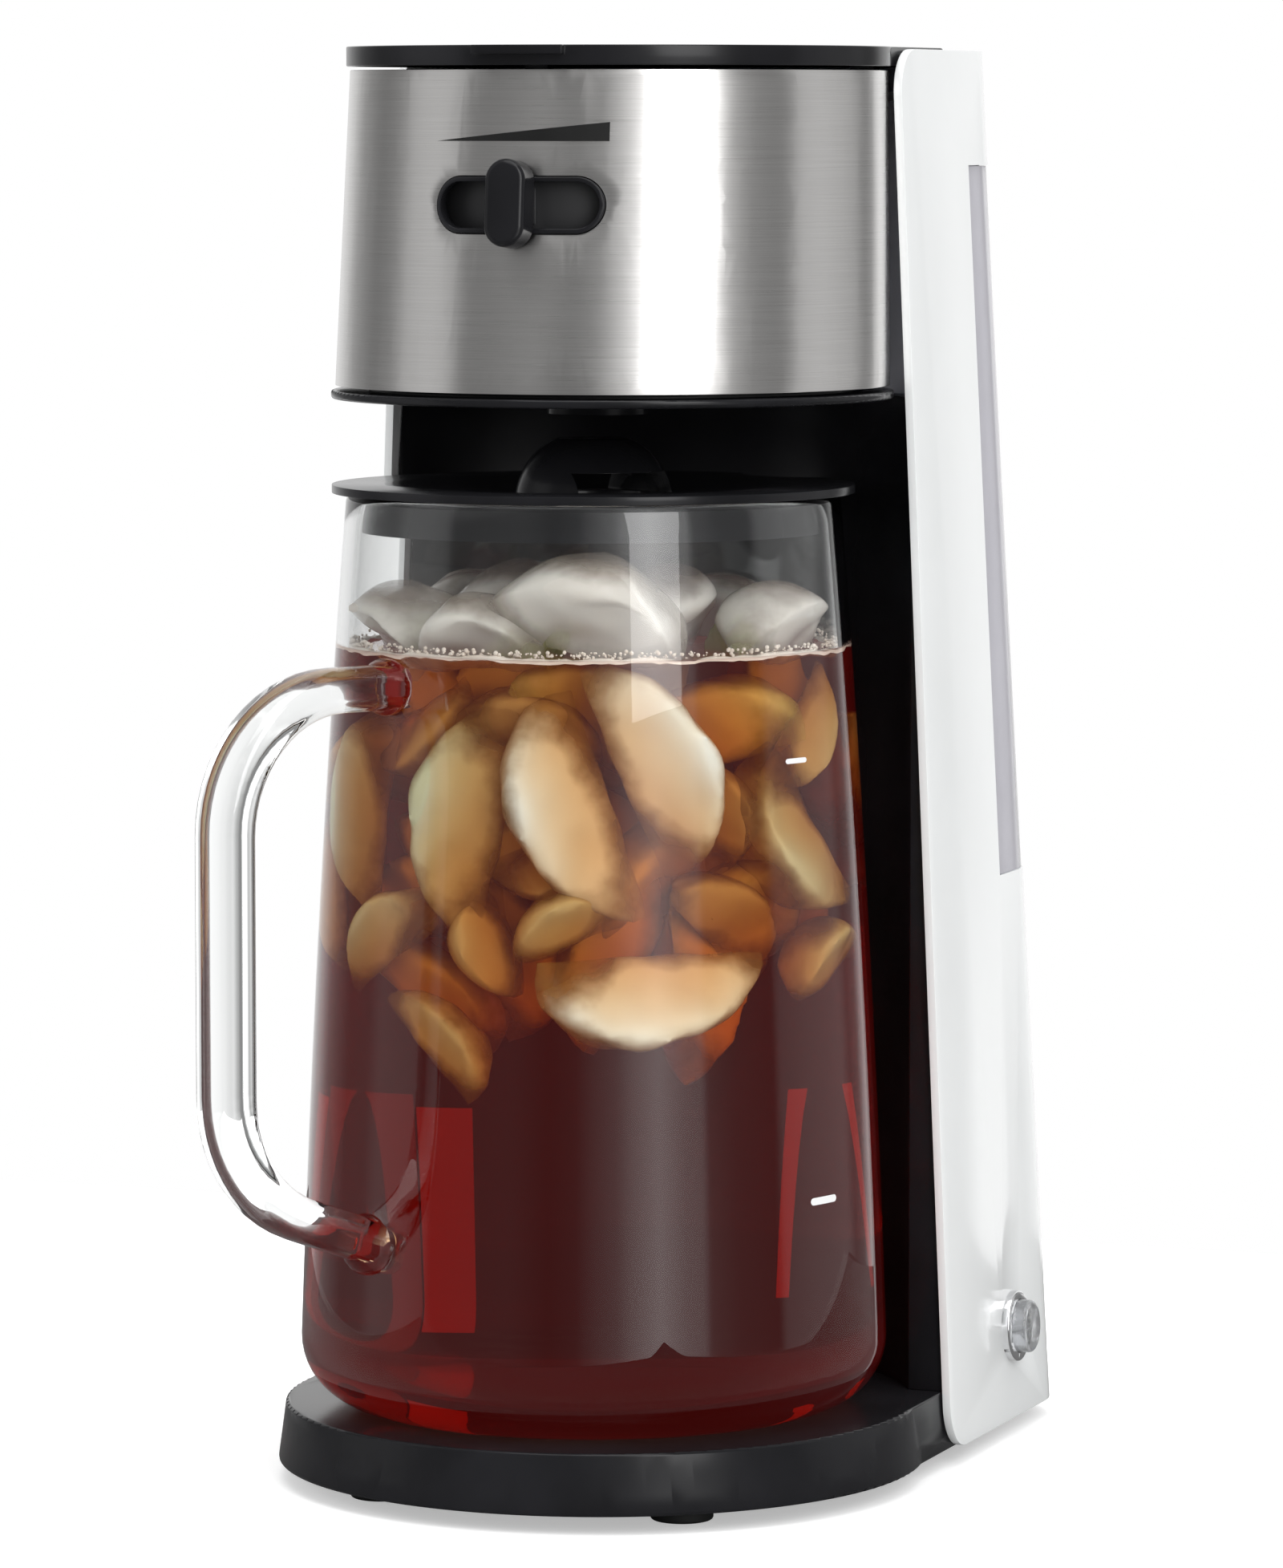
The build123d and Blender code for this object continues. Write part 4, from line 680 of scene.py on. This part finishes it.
# each: model, azimuth, reach from the jug's axis, height, direction of the round back, size, swing
sunken = [
    (0, 38, 48.5, 176, 28, 1.20, 6), (0, 14, 48.5, 161, 203, 1.25, -4), (0, -14, 49.5, 160, 172, 1.24, 4),
    (1, -52, 49.0, 160, 180, 1.25, 8), (1, 78, 48.5, 152, 222, 1.2, -8), (0, 36, 50.5, 120, 276, 1.18, 2),
    (2, 12, 49.0, 138, 120, 0.85, 10), (1, 60, 41.0, 138, 60, 0.95, 20), (1, -38, 51.0, 133, 130, 0.9, 0),
    (2, -9, 46.0, 131, 200, 0.9, 15), (0, -18, 51.0, 111, 48, 0.72, 6), (2, 90, 49.5, 127, 120, 0.9, -5),
    (1, 88, 46.5, 178, 320, 0.9, 5), (2, 62, 41.0, 162, 20, 0.9, -20), (1, 3, 40.0, 182, 70, 0.9, 30),
    (1, -32, 40.0, 178, 300, 1.0, -15), (0, 30, 30.0, 148, 10, 1.0, 40), (1, -72, 48.0, 138, 200, 1.0, 0),
    (0, -100, 46.0, 165, 90, 1.0, 0), (1, 130, 46.0, 168, 40, 1.0, 0), (0, 170, 46.0, 150, 150, 1.0, 0),
    (1, -140, 44.0, 140, 10, 1.0, 0), (2, 12, 40.0, 150, 300, 1.0, 10), (2, -30, 36.0, 150, 40, 1.0, 30),
]
deep = [
    (0, -40, 33, 186, 30, 1.1, 40), (0, -8, 34, 188, 150, 1.1, -30), (0, 24, 33, 184, 60, 1.1, 30),
    (0, 58, 33, 180, 110, 1.1, -40), (0, 88, 35, 186, 20, 1.1, 20), (1, -58, 34, 170, 80, 1.2, 50),
    (0, -24, 33, 160, 10, 1.1, 10), (0, 4, 32, 150, 70, 1.1, 50), (0, 44, 32, 150, 130, 1.1, 20),
    (0, 74, 33, 150, 40, 1.1, -20), (0, -46, 34, 140, 100, 1.1, 0), (0, -14, 33, 134, 30, 1.1, 30),
    (0, 24, 34, 128, 160, 1.0, 0), (1, 56, 34, 122, 20, 1.1, 40), (0, 84, 36, 140, 80, 1.1, 10),
    (1, -34, 38, 122, 60, 1.0, 20),
]
floating = [
    (3, 20, 43.0, 208, 74, 1.12, 0), (2, 84, 45.0, 204, 95, 1.15, 0), (3, -16, 44.0, 202, 100, 0.8, 0),
    (3, -50, 45.0, 203, 84, 0.85, 0), (3, 62, 24.0, 206, 92, 0.9, 30), (3, -40, 20.0, 207, 88, 0.9, 50),
    (1, 150, 40.0, 204, 90, 1.0, 0), (0, -120, 40.0, 204, 92, 1.0, 0), (2, -88, 44.0, 202, 90, 1.0, 0),
]
ICE_GROUPS = (("sunken", sunken, AMBER_ICE), ("deep", deep, DEEP_ICE), ("floating", floating, WET_ICE))
for group, pieces, material in ICE_GROUPS:
    for i, (model, *where) in enumerate(pieces):
        cloudy = group == "sunken" and i in CLOUDY_PIECES
        place_ice(ice_models[model], f"ice_{group}_{i + 1}", *where, ICE if cloudy else material)
deselect_all()
for model in ice_models:
    model.select_set(True)
bpy.ops.object.delete()


def foam_ring():
    """The line of froth that clings to the glass at the tea's level."""
    reach = side_radius(TEA_LEVEL) - JUG_WALL - 0.12
    section = [(reach, TEA_LEVEL - 0.5), (reach, TEA_LEVEL + 0.3), (reach - 0.6, TEA_LEVEL + 0.6),
               (reach - 1.8, TEA_LEVEL + 0.4), (reach - 2.2, TEA_LEVEL - 0.2), (reach - 0.7, TEA_LEVEL - 0.5)]
    ring = turned(section + section[:1], JUG_AXIS, 220)
    waves = bpy.data.textures.new("froth", "CLOUDS")
    waves.noise_scale = 0.006
    push = ring.modifiers.new("froth", "DISPLACE")
    push.texture = waves
    push.direction = "Z"
    push.strength = 2.4 * MM
    push.mid_level = 0.55
    apply_modifiers(ring)
    bpy.data.textures.remove(waves)
    smooth(ring, 60)
    finish_piece(ring, "tea_froth", "jug", FOAM)


def foam_bubbles(count):
    """Small bubbles in a loose band on the tea's rim, thicker in places."""
    dice = random.Random(11)
    wall = side_radius(TEA_LEVEL) - JUG_WALL
    deselect_all()
    first = around(0, wall - 1.2, TEA_LEVEL)
    bpy.ops.mesh.primitive_uv_sphere_add(segments=8, ring_count=5, radius=0.8 * MM, location=first)
    bubbles = bpy.context.object
    bpy.ops.object.mode_set(mode="EDIT")
    for _ in range(count):
        azimuth = dice.choice((-18, 8, 32, 80, -55, 140)) + dice.gauss(0, 16)
        size = 0.16 + 0.42 * dice.random() ** 2
        height = TEA_LEVEL + size + dice.random() * 1.5
        reach = side_radius(height) - JUG_WALL - size - 0.1 - 2.0 * dice.random() ** 2
        place = around(azimuth, reach, height)
        bpy.ops.mesh.primitive_uv_sphere_add(segments=8, ring_count=5, radius=size * MM, location=place)
    done()
    smooth(bubbles, 80)
    finish_piece(bubbles, "froth_bubbles", "jug", FOAM)


foam_ring()
foam_bubbles(480)


# ------------------------------------------------------------------ printed marks
def printed_mark(name, azimuth, reach, height, size, cells, centre, surface, lay_by, shape, body, ink):
    """A thin skin of print: a flat patch, shaped, laid on the surface behind it and given a thickness."""
    columns, rows = cells
    width, tall = size
    deselect_all()
    bpy.ops.mesh.primitive_grid_add(x_subdivisions=columns, y_subdivisions=rows, size=MM, location=(0, 0, 0))
    mark = bpy.context.object
    mark.scale = (width, tall, 1)
    mark.rotation_euler = (math.radians(90), 0, 0)
    settle(mark)
    for vertex in mark.data.vertices:
        across = vertex.co.x / (width * MM) + 0.5
        up = vertex.co.z / (tall * MM) + 0.5
        vertex.co.z = (shape(across, up) - 0.5) * tall * MM
    edit(mark)
    bpy.ops.mesh.remove_doubles(threshold=0.00001)
    done()
    mark.location = around(azimuth, reach, height, centre)
    mark.rotation_euler = (0, 0, math.radians(azimuth))
    settle(mark)
    lay = mark.modifiers.new("lay", "SHRINKWRAP")
    lay.target = surface
    lay.wrap_method = lay_by
    if lay_by == "PROJECT":
        lay.use_project_y = True
    else:
        lay.wrap_mode = "OUTSIDE_SURFACE"
    lay.offset = 0.03 * MM
    skin = mark.modifiers.new("skin", "SOLIDIFY")
    skin.thickness = 0.05 * MM
    skin.offset = 1.0
    apply_modifiers(mark)
    edit(mark)
    bpy.ops.mesh.normals_make_consistent(inside=False)
    done()
    finish_piece(mark, name, body, ink)


def wedge_shape(across, up):
    """A point at the left that opens upwards to full height at the right."""
    return across * up


def bar_shape(across, up):
    """A bar with rounded ends."""
    end = min(across, 1 - across) / 0.09
    share = math.sqrt(max(0.0, 1 - (1 - min(1.0, end)) ** 2))
    return 0.5 + (up - 0.5) * max(0.25, share)


band = bpy.data.objects["head_band"]
in_front_of_band = 66.5
printed_mark("strength_mark", 0, in_front_of_band, 317.4, (42.0, 4.3), (48, 4), AXIS, band, "PROJECT",
             wedge_shape, "machine", PRINT)
level_bars = (("upper_level_bar", 69.5, 174.0, (7.5, 1.2)), ("lower_level_bar", 72.7, 72.5, (9.8, 1.7)))
for name, azimuth, height, size in level_bars:
    outside_glass = side_radius(height) + 1.0
    printed_mark(name, azimuth, outside_glass, height, size, (24, 2), JUG_AXIS, jug, "NEAREST_SURFACEPOINT",
                 bar_shape, "jug", WHITE_PRINT)


# ------------------------------------------------------------------ studio
FLOOR_SIZE = 0.72
FLOOR_DROP = 0.0001                # the floor lies this far under the feet, so that the two don't flicker
SHADOW_REACH = (0.08, 0.45)        # the floor's own glow rises between these distances from the middle
SHADOW_GLOW = (0.42, 1.0)
LAMP_TARGET = Vector((0, 0, 0.16))


def studio_floor():
    """Pale floor that keeps the shadow, brightens to white with distance and shows grey in mirror gloss."""
    deselect_all()
    bpy.ops.mesh.primitive_plane_add(size=FLOOR_SIZE, location=(0, 0, -FLOOR_DROP))
    floor = bpy.context.object
    floor.name = "floor"
    material, nodes, links, shader = new_material("pale_floor")
    shader.inputs["Base Color"].default_value = (0.75, 0.75, 0.75, 1)
    shader.inputs["Roughness"].default_value = 0.9
    shader.inputs["Specular IOR Level"].default_value = 0.1
    glow = nodes.new("ShaderNodeEmission")
    glow.inputs["Color"].default_value = (1, 1, 1, 1)
    path = nodes.new("ShaderNodeLightPath")
    seen = nodes.new("ShaderNodeMath")
    seen.operation = "ADD"
    seen.use_clamp = True
    links.new(path.outputs["Is Camera Ray"], seen.inputs[0])
    links.new(path.outputs["Is Transmission Ray"], seen.inputs[1])
    place = nodes.new("ShaderNodeTexCoord")
    reach = nodes.new("ShaderNodeVectorMath")
    reach.operation = "LENGTH"
    links.new(place.outputs["Object"], reach.inputs[0])
    away = nodes.new("ShaderNodeMapRange")
    away.inputs["From Min"].default_value, away.inputs["From Max"].default_value = SHADOW_REACH
    away.inputs["To Min"].default_value, away.inputs["To Max"].default_value = SHADOW_GLOW
    links.new(reach.outputs["Value"], away.inputs["Value"])
    level = nodes.new("ShaderNodeMath")
    level.operation = "MULTIPLY"
    links.new(away.outputs["Result"], level.inputs[0])
    links.new(seen.outputs[0], level.inputs[1])
    links.new(level.outputs[0], glow.inputs["Strength"])
    both = nodes.new("ShaderNodeAddShader")
    links.new(shader.outputs["BSDF"], both.inputs[0])
    links.new(glow.outputs["Emission"], both.inputs[1])
    mirrored = nodes.new("ShaderNodeBsdfDiffuse")
    mirrored.inputs["Color"].default_value = (0.20, 0.20, 0.20, 1)
    only_mirrored = nodes.new("ShaderNodeMath")
    only_mirrored.operation = "SUBTRACT"
    only_mirrored.use_clamp = True
    links.new(path.outputs["Is Glossy Ray"], only_mirrored.inputs[0])
    links.new(path.outputs["Is Transmission Ray"], only_mirrored.inputs[1])
    choice = nodes.new("ShaderNodeMixShader")
    links.new(only_mirrored.outputs[0], choice.inputs["Fac"])
    links.new(both.outputs["Shader"], choice.inputs[1])
    links.new(mirrored.outputs["BSDF"], choice.inputs[2])
    links.new(choice.outputs["Shader"], nodes["Material Output"].inputs["Surface"])
    floor.data.materials.append(material)


def studio_world():
    """White for the camera; walls with soft upright panels for glass and gloss; even grey for all else."""
    world = bpy.data.worlds.new("studio")
    bpy.context.scene.world = world
    world.use_nodes = True
    nodes, links = world.node_tree.nodes, world.node_tree.links
    background = nodes["Background"]
    place = nodes.new("ShaderNodeTexCoord")
    split = nodes.new("ShaderNodeSeparateXYZ")
    links.new(place.outputs["Generated"], split.inputs["Vector"])
    azimuth = nodes.new("ShaderNodeMath")
    azimuth.operation = "ARCTAN2"
    links.new(split.outputs["X"], azimuth.inputs[0])
    flip = nodes.new("ShaderNodeMath")
    flip.operation = "MULTIPLY"
    flip.inputs[1].default_value = -1
    links.new(split.outputs["Y"], flip.inputs[0])
    links.new(flip.outputs[0], azimuth.inputs[1])
    share = nodes.new("ShaderNodeMapRange")
    share.inputs["From Min"].default_value = -math.pi
    share.inputs["From Max"].default_value = math.pi
    links.new(azimuth.outputs[0], share.inputs["Value"])
    walls = nodes.new("ShaderNodeValToRGB")
    walls.color_ramp.interpolation = "LINEAR"
    # direction in degrees from straight forward, brightness of the wall there
    stops = [
        (-180, 1.1), (-140, 0.9), (-128, 0.75), (-118, 0.42), (-98, 0.22), (-84, 0.34), (-76, 0.66),
        (-60, 0.72), (-51, 0.62), (-47, 0.22), (-30, 0.27), (-12, 0.30), (3, 0.18), (14, 0.26),
        (22, 0.60), (30, 0.95), (35, 1.6), (47, 2.9), (58, 1.8), (65, 1.5), (68, 0.58), (80, 0.34),
        (99, 0.22), (103, 0.68), (118, 0.74), (142, 0.56), (149, 0.26), (158, 0.30), (166, 1.1), (180, 1.1),
    ]
    while len(walls.color_ramp.elements) > 1:
        walls.color_ramp.elements.remove(walls.color_ramp.elements[-1])
    for i, (angle, value) in enumerate(stops):
        position = (angle + 180) / 360
        element = walls.color_ramp.elements[0] if i == 0 else walls.color_ramp.elements.new(position)
        element.position = position
        element.color = (value, value, value, 1)
    links.new(share.outputs["Result"], walls.inputs["Fac"])
    path = nodes.new("ShaderNodeLightPath")
    shiny = nodes.new("ShaderNodeMath")
    shiny.operation = "ADD"
    shiny.use_clamp = True
    links.new(path.outputs["Is Glossy Ray"], shiny.inputs[0])
    links.new(path.outputs["Is Transmission Ray"], shiny.inputs[1])
    mirrored = nodes.new("ShaderNodeMixRGB")
    mirrored.inputs["Color1"].default_value = (0.60, 0.60, 0.60, 1)
    links.new(shiny.outputs[0], mirrored.inputs["Fac"])
    links.new(walls.outputs["Color"], mirrored.inputs["Color2"])
    mix = nodes.new("ShaderNodeMixRGB")
    mix.inputs["Color2"].default_value = (1, 1, 1, 1)
    links.new(path.outputs["Is Camera Ray"], mix.inputs["Fac"])
    links.new(mirrored.outputs["Color"], mix.inputs["Color1"])
    links.new(mix.outputs["Color"], background.inputs["Color"])


def softbox(name, azimuth, distance, height, size, energy):
    """A soft lamp that looks at the middle of the machine."""
    light = bpy.data.lights.new(name, "AREA")
    light.shape = "RECTANGLE"
    light.size, light.size_y = size
    light.energy = energy
    lamp = bpy.data.objects.new(name, light)
    bpy.context.scene.collection.objects.link(lamp)
    angle = math.radians(azimuth)
    lamp.location = (distance * math.sin(angle), -distance * math.cos(angle), height)
    aim = LAMP_TARGET - lamp.location
    lamp.rotation_euler = aim.to_track_quat("-Z", "Y").to_euler()
    return lamp


studio_floor()
studio_world()
key = softbox("key_softbox", 48, 1.5, 0.9, (0.7, 1.4), 14)
fill = softbox("fill_softbox", -55, 1.7, 0.7, (0.9, 1.2), 10)
top = softbox("top_softbox", 10, 0.4, 1.6, (1.2, 1.2), 12)
fill.visible_glossy = False
for lamp in (key, fill, top):
    lamp.visible_camera = False
    lamp.visible_transmission = False


def tea_card(name, azimuth, reach, height, size, radiance):
    """A small lit card that stands behind the jug and shines through the tea."""
    light = bpy.data.lights.new(name, "AREA")
    light.shape = "RECTANGLE"
    light.size, light.size_y = (side * MM for side in size)
    light.energy = radiance * math.pi * light.size * light.size_y
    card = bpy.data.objects.new(name, light)
    bpy.context.scene.collection.objects.link(card)
    card.location = around(azimuth, reach, height)
    card.rotation_euler = (math.radians(90), 0, math.radians(azimuth))
    light.color = (1.0, 0.30, 0.75)
    card.visible_camera = False
    card.visible_glossy = False
    return card


tea_card("left_tea_card", -144.3, 70.0, 54, (6, 54), 0.52)
tea_card("left_dim_tea_card", -140.4, 70.0, 52, (3, 64), 0.22)
tea_card("right_tea_card", -177.5, 70.0, 60, (1.3, 50), 0.60)
ice_card = tea_card("ice_card", -155.0, 66.0, 150, (30, 60), 0.7)
ice_card.visible_transmission = False
ice_card.data.color = (1, 1, 1)


# ------------------------------------------------------------------ camera
CAMERA_AZIMUTH = 21.1       # degrees round to the machine's right
CAMERA_TURN = 0.323         # degrees that it looks past the base's axis
CAMERA_DIP = 5.38           # degrees that it looks down
CAMERA_DISTANCE = 1.675     # metres
CAMERA_HEIGHT = 0.322
FOCAL_PIXELS = 8909
IMAGE_HEIGHT = 1955         # pixels
SENSOR = 36
camera_data = bpy.data.cameras.new("camera")
camera = bpy.data.objects.new("camera", camera_data)
bpy.context.scene.collection.objects.link(camera)
bpy.context.scene.camera = camera
camera_data.sensor_width = SENSOR
camera_data.lens = FOCAL_PIXELS / IMAGE_HEIGHT * SENSOR
angle = math.radians(CAMERA_AZIMUTH)
sideways, back = CAMERA_DISTANCE * math.sin(angle), CAMERA_DISTANCE * math.cos(angle)
camera.location = AXIS + Vector((sideways, -back, CAMERA_HEIGHT))
camera.rotation_euler = (math.radians(90 - CAMERA_DIP), 0, math.radians(CAMERA_AZIMUTH - CAMERA_TURN))
camera_data.clip_end = 50
bpy.context.scene.view_settings.view_transform = "Standard"
